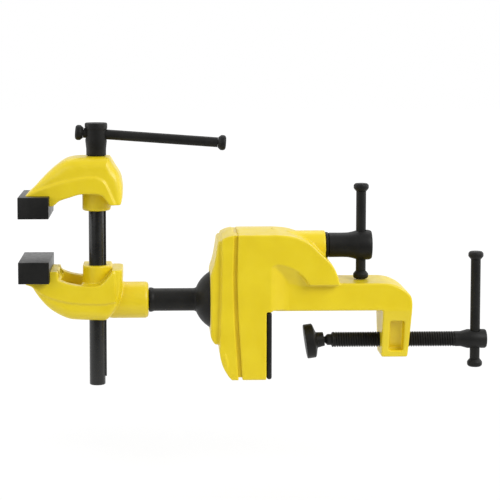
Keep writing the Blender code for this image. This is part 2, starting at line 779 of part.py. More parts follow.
clamp_handle = handle_bar(
    "clamp_handle", (CLAMP_BAR_X, 0, CLAMP_BAR_RISE), (0, 0, 1), CLAMP_BAR_LENGTH
)
pin_hole = NOSE_PIN_RADIUS + GAP
ball_hole_angle = math.asin(pin_hole / THRUST_BALL_RADIUS)
ball_bore_depth = -NOSE_PIN_RADIUS - GAP
thrust_ball = turned(
    "thrust_ball",
    [(ball_bore_depth, 0), (ball_bore_depth, pin_hole)]
    + arc_profile(0, THRUST_BALL_RADIUS, ball_hole_angle, math.pi * 0.96, 9)
    + [(-THRUST_BALL_RADIUS, 0)],
    (THRUST_BALL_X, 0, 0),
    (1, 0, 0),
    sides=SMALL_SIDES,
)
shoe_axis = Vector((math.cos(SHOE_TILT), 0, math.sin(SHOE_TILT)))
cup_mouth_angle = math.acos(CUP_END * 0.75 / cup_sphere)
shoe_back = -SHOE_BACK
shoe_face = shoe_back - SHOE_THICKNESS
clamp_shoe = turned(
    "clamp_shoe",
    [(-cup_sphere, 0)]
    + arc_profile(0, cup_sphere, math.pi * 0.95, cup_mouth_angle, 8)
    + [
        (CUP_END * 0.75, CUP_RADIUS),
        (shoe_back + SHOE_THICKNESS / 4, CUP_RADIUS * 1.12),
        (shoe_back, SHOE_RADIUS * 0.93),
        (shoe_back - SHOE_THICKNESS / 8, SHOE_RADIUS),
        (shoe_face + SHOE_THICKNESS / 8, SHOE_RADIUS),
        (shoe_face, SHOE_RADIUS * 0.95),
        (shoe_face, 0),
    ],
    (THRUST_BALL_X, 0, 0),
    shoe_axis,
)
carry(clamp_axis, black_steel, clamp_screw, *clamp_handle)
carry(shoe_point, bright_steel, thrust_ball)
carry(shoe_point, black_steel, clamp_shoe)

# Ball stud
stem_end = -STEM_LENGTH
collar_start = stem_end + STEM_COLLAR_WIDTH
spigot_end = stem_end - SPIGOT_LENGTH
stem_groove = spigot_end + SPIGOT_LENGTH / 2
stem_pin_drop = SPIGOT_RADIUS
ball_neck_angle = math.pi - math.asin(STEM_RADIUS / BALL_RADIUS)
ball_profile = [(spigot_end, 0), (spigot_end, SPIGOT_RADIUS)]
ball_profile += [
    (stem_groove - GROOVE_HALF, SPIGOT_RADIUS),
    (stem_groove - GROOVE_HALF, SPIGOT_RADIUS - PIN_RADIUS - GAP),
    (stem_groove + GROOVE_HALF, SPIGOT_RADIUS - PIN_RADIUS - GAP),
    (stem_groove + GROOVE_HALF, SPIGOT_RADIUS),
]
ball_profile += [
    (stem_end, SPIGOT_RADIUS),
    (stem_end, STEM_COLLAR_RADIUS),
    (collar_start, STEM_COLLAR_RADIUS),
    (collar_start + STEM_COLLAR_WIDTH / 2, STEM_RADIUS),
]
ball_profile += arc_profile(0, BALL_RADIUS, ball_neck_angle, math.pi * 0.02, 18)
ball_profile += [(BALL_RADIUS, 0)]
ball_stud = turned("ball_stud", ball_profile, BALL, (1, 0, 0))
carry(ball_point, black_steel, ball_stud)

# Guide bar: a slotted, keyed tube
guide_bar = rod("guide_bar", (BAR_X, 0, BAR_BOTTOM), (BAR_X, 0, BAR_TOP), BAR_RADIUS)
round_edges(guide_bar, BAR_RADIUS / 8, 2, 60)
guide_rib = box("guide_rib_stock", (BAR_X, -RIB_HALF, RIB_BOTTOM), (BAR_X + RIB_REACH, RIB_HALF, BAR_TOP - SINK))
bar_bore = rod("bar_bore", (BAR_X, 0, BAR_BOTTOM - OVERRUN), (BAR_X, 0, BAR_TOP + OVERRUN), BAR_BORE_RADIUS)
slot_back = BAR_RADIUS + OVERRUN
bar_slot = box("bar_slot", (BAR_X - SLOT_HALF, 0, SLOT_BOTTOM), (BAR_X + SLOT_HALF, slot_back, SLOT_TOP))
bar_pin_x = BAR_X - BAR_RADIUS - PIN_RADIUS / 3
bar_pin_z = (BAR_TOP + UPPER_JAW_BOTTOM) / 2
bar_pin_groove = rod(
    "bar_pin_groove",
    (bar_pin_x, -BAR_RADIUS, bar_pin_z),
    (bar_pin_x, BAR_RADIUS + OVERRUN, bar_pin_z),
    PIN_RADIUS + GAP,
    SMALL_SIDES,
)
join(guide_bar, guide_rib)
cut(guide_bar, bar_bore, bar_slot, bar_pin_groove)

# Jaw spindle: hub, neck with a groove, and thread core
neck_end = BAR_TOP + GAP
spindle_pin_z = (BAR_TOP + UPPER_JAW_BOTTOM + UPPER_JAW_HEIGHT) / 2
spindle_profile = [(SPINDLE_BOTTOM, 0), (SPINDLE_BOTTOM, SPINDLE_RADIUS), (neck_end, SPINDLE_RADIUS)]
spindle_profile += [
    (neck_end, SPINDLE_NECK_RADIUS),
    (spindle_pin_z - GROOVE_HALF, SPINDLE_NECK_RADIUS),
    (spindle_pin_z - GROOVE_HALF, SPINDLE_GROOVE_RADIUS),
    (spindle_pin_z + GROOVE_HALF, SPINDLE_GROOVE_RADIUS),
    (spindle_pin_z + GROOVE_HALF, SPINDLE_NECK_RADIUS),
    (hub_bottom, SPINDLE_NECK_RADIUS),
]
spindle_profile += [(hub_bottom + HUB_HEIGHT * a, HUB_RADIUS * r) for a, r in HUB_SHARES]
spindle_profile += [(hub_bottom + HUB_HEIGHT, 0)]
jaw_spindle = turned("jaw_spindle", spindle_profile, (BAR_X, 0, 0), (0, 0, 1))
jaw_bar_direction = Vector((math.cos(JAW_BAR_DROOP), 0, -math.sin(JAW_BAR_DROOP)))
jaw_bar_offset = (JAW_BAR_LENGTH / 2 - KNOB_LENGTH) * math.cos(JAW_BAR_DROOP) - HUB_RADIUS - JAW_BAR_SLACK
jaw_bar_middle = Vector((BAR_X + jaw_bar_offset, 0, hub_bottom + JAW_BAR_RISE))
hub_crossing = jaw_bar_middle - jaw_bar_direction * (jaw_bar_offset / math.cos(JAW_BAR_DROOP))
hub_reach = jaw_bar_direction * (HUB_RADIUS + OVERRUN)
hole_ends = (hub_crossing - hub_reach, hub_crossing + hub_reach)
spindle_hole = rod("spindle_hole", *hole_ends, handle_hole, SMALL_SIDES)
cut(jaw_spindle, spindle_hole)
jaw_handle = handle_bar("jaw_handle", jaw_bar_middle, jaw_bar_direction, JAW_BAR_LENGTH)

# Upper jaw
pad_right = BAR_X - JAW_REACH * JAW_PAD_BACK_SHARE
pad_left = pad_right - JAW_PAD_LENGTH
upper_seat_z = UPPER_JAW_BOTTOM + UPPER_JAW_HEIGHT * UPPER_SEAT_SHARE
upper_pad_bottom = upper_seat_z - GAP - JAW_PAD_HEIGHT


def upper_points(shares):
    return scaled(shares, BAR_X, JAW_REACH, UPPER_JAW_BOTTOM, UPPER_JAW_HEIGHT)


def boss_back(name, low, high, back):
    """The straight back half of a jaw's boss."""
    return box(name, (BAR_X - BOSS_RADIUS, 0, low), (BAR_X + BOSS_RADIUS, back, high))


def nearest(point, line):
    """The place on a line of points that is nearest to a point."""
    places = []
    for start, end in zip(line, line[1:]):
        along = Vector(end) - Vector(start)
        share = (Vector(point) - Vector(start)).dot(along) / along.length_squared
        places.append(Vector(start) + along * min(max(share, 0), 1))
    return min(places, key=lambda place: (place - Vector(point)).length)


def crowned(name, outer, closing):
    """A jaw's band, rounded off along its outer line, and less so where its other line comes near."""
    line = []
    for x, z in outer:
        inward = nearest((x, z), closing + outer[:1]) - Vector((x, z))
        crown = min(JAW_CROWN, max(CROWN_SHARE * inward.length, JAW_CROWN / 20))
        if (x, z) == outer[0]:
            inward = Vector((1, 0))
        line.append((x, z, crown, inward.normalized()))
    line += [(x, z, JAW_CROWN, Vector((0, 0))) for x, z in closing]
    shape = bmesh.new()
    rings = []
    for sign, steps in ((-1, range(CROWN_STEPS + 1)), (1, range(CROWN_STEPS, -1, -1))):
        for k in steps:
            angle = math.pi / 2 * (1 - k / CROWN_STEPS)
            ring = []
            for x, z, crown, inward in line:
                inset = inward * crown * (1 - math.cos(angle))
                depth = sign * (JAW_BAND_HALF - crown * (1 - math.sin(angle)))
                ring.append(shape.verts.new((x + inset.x, depth, z + inset.y)))
            rings.append(ring)
    shape.faces.new(rings[0])
    shape.faces.new(rings[-1])
    count = len(line)
    for one, two in zip(rings, rings[1:]):
        for i in range(count):
            j = (i + 1) % count
            shape.faces.new((one[i], one[j], two[j], two[i]))
    return new_object(name, shape)


upper_outer = smooth_line(upper_points(UPPER_OUTER_SHARES), 2)
upper_outer[0] = (upper_outer[0][0], upper_seat_z)
upper_ridge = smooth_line(upper_points(UPPER_RIDGE_SHARES), 2)
upper_sink = UPPER_JAW_HEIGHT / 10
ridge_sunk = [(BAR_X + JAW_REACH / 4, UPPER_JAW_BOTTOM)] + [(x, z - upper_sink) for x, z in upper_ridge[3:-1]]
upper_jaw = crowned("upper_jaw", upper_outer, ridge_sunk)
upper_under = smooth_line(upper_points(UPPER_UNDER_SHARES), 2)
web_top = list(reversed(upper_ridge))
nose_x = upper_outer[1][0]
upper_web_outline = (
    [(pad_right + GAP, upper_under[-1][1]), (pad_right + GAP, upper_seat_z), (nose_x, upper_seat_z)]
    + web_top
    + upper_under
)
upper_web = prism("upper_web_stock", upper_web_outline, -JAW_WEB_HALF, JAW_WEB_HALF)
round_edges(upper_web, JAW_ROUND / 2, 2, 60)
upper_boss = rod(
    "upper_boss_stock", (BAR_X, 0, UPPER_BOSS_BOTTOM), (BAR_X, 0, spindle_pin_z), BOSS_RADIUS
)
bar_fit = BAR_RADIUS + GAP
upper_bore = rod(
    "upper_bore", (BAR_X, 0, UPPER_BOSS_BOTTOM - OVERRUN), (BAR_X, 0, BAR_TOP + GAP), bar_fit
)
upper_key = box(
    "upper_key",
    (BAR_X, -RIB_HALF - GAP, UPPER_BOSS_BOTTOM - OVERRUN),
    (BAR_X + RIB_REACH + GAP, RIB_HALF + GAP, BAR_TOP + GAP),
)
upper_neck = rod(
    "upper_neck",
    (BAR_X, 0, BAR_TOP - OVERRUN),
    (BAR_X, 0, hub_bottom + OVERRUN),
    SPINDLE_NECK_RADIUS + GAP,
    SMALL_SIDES,
)
pin_back = JAW_BAND_HALF - JAW_ROUND
pin_front = -BAR_RADIUS
pin_fit = PIN_RADIUS + GAP
spindle_pin_x = BAR_X - SPINDLE_GROOVE_RADIUS - GAP - PIN_RADIUS
spindle_pin_hole = rod(
    "spindle_pin_hole",
    (spindle_pin_x, pin_front - GAP, spindle_pin_z),
    (spindle_pin_x, JAW_BAND_HALF + OVERRUN, spindle_pin_z),
    pin_fit,
    SMALL_SIDES,
)
bar_pin_hole = rod(
    "bar_pin_hole",
    (bar_pin_x, pin_front - GAP, bar_pin_z),
    (bar_pin_x, JAW_BAND_HALF + OVERRUN, bar_pin_z),
    pin_fit,
    SMALL_SIDES,
)
upper_boss_back = boss_back("upper_boss_back", UPPER_BOSS_BOTTOM, spindle_pin_z, pin_back)
join(upper_jaw, upper_web, upper_boss, upper_boss_back)
cut(upper_jaw, upper_bore, upper_key, upper_neck, spindle_pin_hole, bar_pin_hole)
spindle_pin = rod(
    "spindle_pin",
    (spindle_pin_x, pin_front, spindle_pin_z),
    (spindle_pin_x, pin_back, spindle_pin_z),
    PIN_RADIUS,
    SMALL_SIDES,
)
bar_pin = rod(
    "guide_bar_pin",
    (bar_pin_x, pin_front, bar_pin_z),
    (bar_pin_x, pin_back, bar_pin_z),
    PIN_RADIUS,
    SMALL_SIDES,
)


# Jaw pads and the screws that hold them from behind
def pad_screws(name, z, lip_x):
    """Two pan-head screws that run through the jaw's lip into the pad, with the holes that they need."""
    screws = []
    profile = [
        (-PAD_SCREW_HEAD_WIDTH, 0),
        (-PAD_SCREW_HEAD_WIDTH, PAD_SCREW_HEAD_RADIUS),
        (0, PAD_SCREW_HEAD_RADIUS),
        (0, PAD_SCREW_RADIUS),
        (lip_x - pad_right + PAD_SCREW_BITE, PAD_SCREW_RADIUS),
        (lip_x - pad_right + PAD_SCREW_BITE, 0),
    ]
    holes = []
    for sign, end in ((-1, "_near"), (1, "_far")):
        head = (lip_x, sign * PAD_SCREW_SPREAD, z)
        screws.append(turned(name + end, profile, head, (-1, 0, 0), sides=SMALL_SIDES))
        for use in ("pad", "jaw"):
            holes.append(
                rod(
                    name + "_hole_" + use + end,
                    (lip_x + GAP, sign * PAD_SCREW_SPREAD, z),
                    (pad_right - PAD_SCREW_BITE - GAP, sign * PAD_SCREW_SPREAD, z),
                    PAD_SCREW_RADIUS + GAP,
                    SMALL_SIDES,
                )
            )
        holes.append(
            rod(
                name + "_recess" + end,
                (lip_x - GAP, sign * PAD_SCREW_SPREAD, z),
                (lip_x + PAD_SCREW_HEAD_WIDTH + OVERRUN, sign * PAD_SCREW_SPREAD, z),
                PAD_SCREW_HEAD_RADIUS + GAP,
                SMALL_SIDES,
            )
        )
    return screws, holes


def jaw_pad(name, bottom):
    return round_edges(
        box(name, (pad_left, -JAW_PAD_HALF, bottom), (pad_right, JAW_PAD_HALF, bottom + JAW_PAD_HEIGHT)),
        GAP * 2,
        1,
    )


upper_pad = jaw_pad("upper_jaw_pad", upper_pad_bottom)
upper_lip_x = BAR_X + JAW_REACH * -0.6
upper_screw_z = upper_seat_z - PAD_SCREW_HEAD_RADIUS - GAP * 3
upper_screws, upper_holes = pad_screws("upper_pad_screw", upper_screw_z, upper_lip_x)
cut(upper_pad, upper_holes[0], upper_holes[3])
cut(upper_jaw, upper_holes[1], upper_holes[4], upper_holes[2], upper_holes[5])
carry(jaw_axis, cast_yellow, upper_jaw)
carry(jaw_axis, black_rubber, upper_pad)
carry(jaw_axis, black_steel, guide_bar, *upper_screws, jaw_spindle, *jaw_handle)
carry(jaw_axis, bright_steel, spindle_pin, bar_pin)


# Lower jaw
def lower_points(shares):
    return scaled(shares, BAR_X, JAW_REACH, LOWER_JAW_BOTTOM, LOWER_JAW_HEIGHT)


lower_seat_z = LOWER_PAD_BOTTOM - GAP
lower_outer = smooth_line(lower_points(LOWER_OUTER_SHARES), 2)
lower_ridge = smooth_line(lower_points(LOWER_RIDGE_SHARES), 2)
lower_lift = LOWER_JAW_HEIGHT / 10
band_inside_x = BAR_X + JAW_REACH / 5
ridge_lifted = [(band_inside_x, BALL_RISE)] + [(x, z + lower_lift) for x, z in lower_ridge[2:]]
wall_top = [lower_points(LOWER_INNER_SHARES)[0], (band_inside_x, LOWER_BOSS_TOP - BOSS_RADIUS)]
lower_inner = smooth_line(lower_points(LOWER_INNER_SHARES), 2)
nose_top = [(lower_outer[2][0], lower_seat_z - SINK)]
lower_jaw = crowned("lower_jaw", lower_outer, wall_top + ridge_lifted + nose_top)
sunk_inner = [(lower_inner[0][0] + JAW_ROUND, lower_inner[0][1] - JAW_ROUND)] + lower_inner[1:]
lower_seat = [(pad_right + GAP, lower_seat_z), (lower_outer[0][0], lower_seat_z)]
lower_web_outline = (
    sunk_inner
    + [(pad_right + GAP, lower_inner[-1][1])]
    + lower_seat
    + [(lower_outer[0][0], lower_outer[0][1] + SINK), (lower_outer[2][0], lower_outer[2][1] + SINK)]
    + list(reversed(lower_ridge))
)
lower_web = prism("lower_web_stock", lower_web_outline, -JAW_WEB_HALF, JAW_WEB_HALF)
round_edges(lower_web, JAW_ROUND / 2, 2, 60)
lower_boss = rod(
    "lower_boss_stock", (BAR_X, 0, BALL_RISE), (BAR_X, 0, LOWER_BOSS_TOP), BOSS_RADIUS
)
stem_boss_end = -BALL_BACK - STEM_LENGTH - GAP
stem_boss_start = BAR_X + STEM_BOSS_SINK
stem_boss = turned(
    "stem_boss_stock",
    [
        (stem_boss_start, BALL_RISE - LOWER_JAW_BOTTOM - SINK),
        (stem_boss_start + BOSS_RADIUS, STEM_BOSS_RADIUS),
        (stem_boss_end - JAW_ROUND, STEM_BOSS_RADIUS),
        (stem_boss_end - JAW_ROUND / 3, STEM_BOSS_RADIUS - JAW_ROUND / 3),
        (stem_boss_end, STEM_BOSS_RADIUS - JAW_ROUND),
    ],
    (0, 0, BALL_RISE),
    (1, 0, 0),
)
spigot_end_x = -BALL_BACK + spigot_end
stem_bore = rod(
    "stem_bore",
    (spigot_end_x - GAP, 0, BALL_RISE),
    (stem_boss_end + OVERRUN, 0, BALL_RISE),
    SPIGOT_RADIUS + GAP,
)
lower_bore = rod(
    "lower_bore",
    (BAR_X, 0, LOWER_JAW_BOTTOM - OVERRUN),
    (BAR_X, 0, LOWER_BOSS_TOP + OVERRUN),
    bar_fit,
)
lower_key = box(
    "lower_key",
    (BAR_X, -RIB_HALF - GAP, LOWER_JAW_BOTTOM - OVERRUN),
    (BAR_X + RIB_REACH + GAP, RIB_HALF + GAP, LOWER_BOSS_TOP + OVERRUN),
)
channel_left = BAR_X - JAW_REACH / 2
channel = box(
    "jaw_channel",
    (channel_left, -CHANNEL_HALF, lower_inner[-3][1] - CHANNEL_DEPTH - OVERRUN),
    (BAR_X - BOSS_RADIUS - SINK, CHANNEL_HALF, LOWER_BOSS_TOP),
)
nut_half = SLOT_HALF - GAP
nut_top = NUT_BOTTOM + NUT_HEIGHT
nut_slot = box(
    "nut_slot",
    (BAR_X - nut_half - GAP, 0, NUT_BOTTOM - GAP),
    (BAR_X + nut_half + GAP, NUT_BACK + GAP, nut_top + GAP),
)
nut_middle = (NUT_BOTTOM + nut_top) / 2
grub_hole = rod(
    "grub_hole",
    (BAR_X, NUT_BACK, nut_middle),
    (BAR_X, JAW_BAND_HALF + OVERRUN, nut_middle),
    GRUB_RADIUS + GAP,
    SMALL_SIDES,
)
stem_pin_x = -BALL_BACK + stem_groove
stem_pin_z = BALL_RISE - stem_pin_drop
stem_pin_back = STEM_BOSS_RADIUS / 2
stem_pin_hole = rod(
    "stem_pin_hole",
    (stem_pin_x, -stem_pin_back - GAP, stem_pin_z),
    (stem_pin_x, STEM_BOSS_RADIUS + OVERRUN, stem_pin_z),
    pin_fit,
    SMALL_SIDES,
)
lower_pad = jaw_pad("lower_jaw_pad", LOWER_PAD_BOTTOM)
lower_lip_x = BAR_X + JAW_REACH * -0.6
lower_screw_z = LOWER_PAD_BOTTOM + PAD_SCREW_HEAD_RADIUS * 1.7
lower_screws, lower_holes = pad_screws("lower_pad_screw", lower_screw_z, lower_lip_x)
lower_boss_back = boss_back("lower_boss_back", BALL_RISE, LOWER_BOSS_TOP, JAW_WEB_HALF - SINK)
lower_boss_wall = box(
    "lower_boss_wall",
    (BAR_X, 0, BALL_RISE),
    (BAR_X + JAW_REACH / 4, JAW_BAND_HALF - JAW_CROWN / 2, wall_top[0][1] - SINK / 2),
)
join(lower_jaw, lower_web, lower_boss, lower_boss_back, lower_boss_wall, stem_boss)
cut(lower_jaw, channel, stem_bore, lower_bore, lower_key, nut_slot, grub_hole, stem_pin_hole)
cut(lower_pad, lower_holes[0], lower_holes[3])
cut(lower_jaw, lower_holes[1], lower_holes[4], lower_holes[2], lower_holes[5])

# Half nut on the spindle, its grub screw, and the pin that keeps the stem in
spindle_nut = box(
    "spindle_nut",
    (BAR_X - nut_half, SPINDLE_RADIUS / 2, NUT_BOTTOM),
    (BAR_X + nut_half, NUT_BACK, nut_top),
)
nut_hollow = rod(
    "nut_hollow",
    (BAR_X, 0, NUT_BOTTOM - OVERRUN),
    (BAR_X, 0, nut_top + OVERRUN),
    SPINDLE_RADIUS + GAP,
)
cut(spindle_nut, nut_hollow)
grub_start = NUT_BACK + GAP * 2
grub_depth = GRUB_LENGTH / 2
nut_grub = turned(
    "nut_grub_screw",
    [
        (grub_start, 0),
        (grub_start, GRUB_RADIUS),
        (grub_start + GRUB_LENGTH, GRUB_RADIUS),
        (grub_start + GRUB_LENGTH, GRUB_SOCKET_RADIUS),
        (grub_start + grub_depth, GRUB_SOCKET_RADIUS),
        (grub_start + grub_depth, 0),
    ],
    (BAR_X, 0, nut_middle),
    (0, 1, 0),
    sides=SMALL_SIDES,
)
stem_pin = rod(
    "stem_pin",
    (stem_pin_x, -stem_pin_back, stem_pin_z),
    (stem_pin_x, stem_pin_back, stem_pin_z),
    PIN_RADIUS,
    SMALL_SIDES,
)
carry(head_axis, cast_yellow, lower_jaw)
carry(head_axis, black_rubber, lower_pad)
carry(head_axis, black_steel, *lower_screws, nut_grub)
carry(head_axis, bright_steel, spindle_nut, stem_pin)
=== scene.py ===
"""Looks of the multi-angle bench vise: painted castings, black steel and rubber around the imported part."""

import json
import math

import bmesh
import bpy
from mathutils import Matrix, Vector


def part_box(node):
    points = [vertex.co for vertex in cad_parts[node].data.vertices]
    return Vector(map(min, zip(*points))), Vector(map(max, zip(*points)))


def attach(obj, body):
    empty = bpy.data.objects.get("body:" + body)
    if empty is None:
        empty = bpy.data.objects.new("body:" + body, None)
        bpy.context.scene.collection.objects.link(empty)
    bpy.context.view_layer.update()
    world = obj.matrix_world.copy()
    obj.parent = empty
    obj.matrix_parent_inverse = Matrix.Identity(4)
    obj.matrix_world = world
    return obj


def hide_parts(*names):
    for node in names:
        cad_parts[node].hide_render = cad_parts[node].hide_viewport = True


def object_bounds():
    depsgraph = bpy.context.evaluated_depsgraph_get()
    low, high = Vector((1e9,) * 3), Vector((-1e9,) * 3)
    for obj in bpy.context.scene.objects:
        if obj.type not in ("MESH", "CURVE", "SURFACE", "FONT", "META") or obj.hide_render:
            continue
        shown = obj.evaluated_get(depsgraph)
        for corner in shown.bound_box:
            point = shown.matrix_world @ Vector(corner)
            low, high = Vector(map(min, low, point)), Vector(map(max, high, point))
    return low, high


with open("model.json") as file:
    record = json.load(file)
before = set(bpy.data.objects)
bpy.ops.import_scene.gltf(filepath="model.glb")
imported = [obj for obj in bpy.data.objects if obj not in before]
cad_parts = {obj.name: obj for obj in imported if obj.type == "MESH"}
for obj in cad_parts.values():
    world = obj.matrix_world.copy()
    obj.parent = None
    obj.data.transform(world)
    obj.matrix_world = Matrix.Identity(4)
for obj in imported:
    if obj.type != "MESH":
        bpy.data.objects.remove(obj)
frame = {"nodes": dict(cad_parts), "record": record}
cad_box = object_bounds()
MM = 0.001


# Materials
def new_node(tree, kind):
    return tree.nodes.new("ShaderNode" + kind)


def new_material(name, colour, roughness, metallic=0.0, specular=0.5):
    made = bpy.data.materials.new(name)
    made.use_nodes = True
    shader = made.node_tree.nodes["Principled BSDF"]
    shader.inputs["Base Color"].default_value = (*colour, 1.0)
    shader.inputs["Roughness"].default_value = roughness
    shader.inputs["Metallic"].default_value = metallic
    shader.inputs["Specular IOR Level"].default_value = specular
    return made, made.node_tree, shader


def add_noise(tree, scale, detail=3.0, rough=0.55):
    where = new_node(tree, "TexCoord")
    noise = new_node(tree, "TexNoise")
    noise.inputs["Scale"].default_value = scale
    noise.inputs["Detail"].default_value = detail
    noise.inputs["Roughness"].default_value = rough
    tree.links.new(where.outputs["Object"], noise.inputs["Vector"])
    return noise.outputs["Fac"]


def ramp(tree, source, low, high, target):
    """Drives a socket of the shader from low to high with a noise."""
    node = new_node(tree, "ValToRGB")
    node.color_ramp.elements[0].position = 0.35
    node.color_ramp.elements[1].position = 0.65
    node.color_ramp.elements[0].color = (*low, 1.0)
    node.color_ramp.elements[1].color = (*high, 1.0)
    tree.links.new(source, node.inputs["Fac"])
    tree.links.new(node.outputs["Color"], target)


def bump(tree, shader, sources):
    """Chains bumps: each source is (height output, strength, distance)."""
    last = None
    for height, strength, distance in sources:
        node = new_node(tree, "Bump")
        node.inputs["Strength"].default_value = strength
        node.inputs["Distance"].default_value = distance
        tree.links.new(height, node.inputs["Height"])
        if last:
            tree.links.new(last, node.inputs["Normal"])
        last = node.outputs["Normal"]
    tree.links.new(last, shader.inputs["Normal"])


def grey(level):
    return (level, level, level)


def make_yellow():
    """Gloss paint on castings: slight clouds of tone, and the waves and orange peel of a sprayed coat."""
    made, tree, shader = new_material("yellow_paint", (0.78, 0.605, 0.008), 0.36)
    ramp(tree, add_noise(tree, 35.0), (0.765, 0.58, 0.006), (0.81, 0.63, 0.011), shader.inputs["Base Color"])
    ramp(tree, add_noise(tree, 160.0), grey(0.32), grey(0.42), shader.inputs["Roughness"])
    wave = add_noise(tree, 120.0, 2.0)
    peel = add_noise(tree, 700.0, 2.0)
    bump(tree, shader, [(wave, 0.2, 0.0003), (peel, 0.2, 0.00008)])
    return made


def make_black(name, level, roughness, specular, grain, depth):
    """A black coat or rubber with a fine grain."""
    made, tree, shader = new_material(name, (level, level, level * 0.95), roughness, specular=specular)
    darker = (level * 0.85, level * 0.85, level * 0.82)
    lighter = (level * 1.2, level * 1.19, level * 1.12)
    ramp(tree, add_noise(tree, 60.0), darker, lighter, shader.inputs["Base Color"])
    sheen = add_noise(tree, 220.0)
    ramp(tree, sheen, grey(roughness - 0.04), grey(roughness + 0.04), shader.inputs["Roughness"])
    bump(tree, shader, [(add_noise(tree, grain), 0.35, depth)])
    return made


def make_bright():
    made, tree, shader = new_material("bare_steel", (0.55, 0.55, 0.56), 0.3, 1.0)
    lines = add_noise(tree, 500.0, 4.0)
    ramp(tree, lines, grey(0.24), grey(0.4), shader.inputs["Roughness"])
    bump(tree, shader, [(lines, 0.2, 0.00003)])
    return made


def make_seat():
    made, tree, shader = new_material("seat_plastic", (0.62, 0.60, 0.53), 0.5)
    ramp(tree, add_noise(tree, 90.0), (0.58, 0.56, 0.49), (0.66, 0.64, 0.57), shader.inputs["Base Color"])
    bump(tree, shader, [(add_noise(tree, 900.0), 0.15, 0.00004)])
    return made


BY_SLOT = {
    "cast_yellow": make_yellow(),
    "black_steel": make_black("black_coated_steel", 0.013, 0.46, 0.15, 900.0, 0.00004),
    "black_rubber": make_black("moulded_rubber", 0.014, 0.36, 0.22, 1400.0, 0.00003),
    "bright_steel": make_bright(),
    "seat_plastic": make_seat(),
}
ground_steel = make_black("ground_black_steel", 0.011, 0.30, 0.40, 1600.0, 0.00001)
for part in frame["record"]["subparts"]:
    node = frame["nodes"][part["node"]]
    node.data.materials.clear()
    node.data.materials.append(BY_SLOT[part["material_slot"]])


# Mesh helpers, in millimetres
ON_AXIS = 1e-6
FLANK, FLAT = 2.4, 0.4


def new_object(name, shape):
    bmesh.ops.recalc_face_normals(shape, faces=shape.faces)
    mesh = bpy.data.meshes.new(name)
    shape.to_mesh(mesh)
    shape.free()
    made = bpy.data.objects.new(name, mesh)
    bpy.context.scene.collection.objects.link(made)
    return made


def limit(value, low=0.0, high=1.0):
    return min(max(value, low), high)


def between(before, start, end, after, t):
    """A place on the Catmull-Rom curve from start to end."""
    bend = 2 * before - 5 * start + 4 * end - after
    turn = 3 * start - before - 3 * end + after
    return (2 * start + (end - before) * t + bend * t * t + turn * t**3) / 2


def smooth_line(points, steps=4):
    """A curve through the points, each stretch split into equal steps."""
    rounded = []
    last = len(points) - 1
    for i in range(last):
        corners = (points[max(i - 1, 0)], points[i], points[i + 1], points[min(i + 2, last)])
        for k in range(steps):
            rounded.append(tuple(between(*values, k / steps) for values in zip(*corners)))
    rounded.append(points[last])
    return rounded


def scaled(shares, x, width, z, height):
    """Places from shares of a width and of a height."""
    return [(x + width * a, z + height * b) for a, b in shares]


def loft(name, rings):
    """Joins rings of as many points each, and closes the first and the last."""
    shape = bmesh.new()
    rows = [[shape.verts.new(point) for point in ring] for ring in rings]
    shape.faces.new(rows[0])
    shape.faces.new(rows[-1])
    for one, two in zip(rows, rows[1:]):
        for i in range(len(one)):
            j = (i + 1) % len(one)
            shape.faces.new((one[i], one[j], two[j], two[i]))
    return new_object(name, shape)


def prism(name, outline, low, high, plane="XZ"):
    """A body whose section is the outline in the plane, from low to high along the third axis."""
    place = {
        "XZ": lambda a, b, depth: (a, depth, b),
        "YZ": lambda a, b, depth: (depth, a, b),
        "XY": lambda a, b, depth: (a, b, depth),
    }[plane]
    return loft(name, [[place(a, b, depth) for a, b in outline] for depth in (low, high)])


def box(name, low, high):
    outline = [(low[0], low[2]), (high[0], low[2]), (high[0], high[2]), (low[0], high[2])]
    return prism(name, outline, low[1], high[1])


def soften(profile, radius, steps=4):
    """Rounds every corner of a lathe profile, by at most a share of the shorter stretch beside it."""
    most, least = 0.45, 1e-4
    points = [Vector(p).to_2d() for p in profile]
    made = [tuple(points[0])]
    for before, at, after in zip(points, points[1:], points[2:]):
        one, two = before - at, after - at
        cut = min(radius, one.length * most, two.length * most)
        if cut < least or at.y <= ON_AXIS:
            made.append(tuple(at))
            continue
        start, end = at + one.normalized() * cut, at + two.normalized() * cut
        for k in range(steps + 1):
            t = k / steps
            made.append(tuple(start * (1 - t) ** 2 + at * 2 * t * (1 - t) + end * t * t))
    made.append(tuple(points[-1]))
    return made


def thread_depth(along, turn, thread):
    """How far a thread is cut in at a place along its axis, and a share of a turn round it.

    Its teeth have straight flanks with a flat at the crest and at the root, and it fades out at both ends.
    """
    start, end, pitch, depth = thread
    if not start <= along <= end:
        return 0.0
    wave = (along / pitch - turn) % 1.0
    tooth = limit(abs(2 * wave - 1) * FLANK - FLAT)
    fade = min(along - start, end - along) / pitch
    return depth * (1 - tooth) * limit(fade)


def threaded(profile, thread, steps=10):
    """The lathe profile, with steps for a thread in its threaded stretch."""
    start, end, pitch, _ = thread
    level = next(radius for along, radius in profile if along >= start)
    inside = [(start + pitch * k / steps, level) for k in range(int((end - start) / pitch * steps) + 1)]
    return [p for p in profile if p[0] < start] + inside + [p for p in profile if p[0] > end]


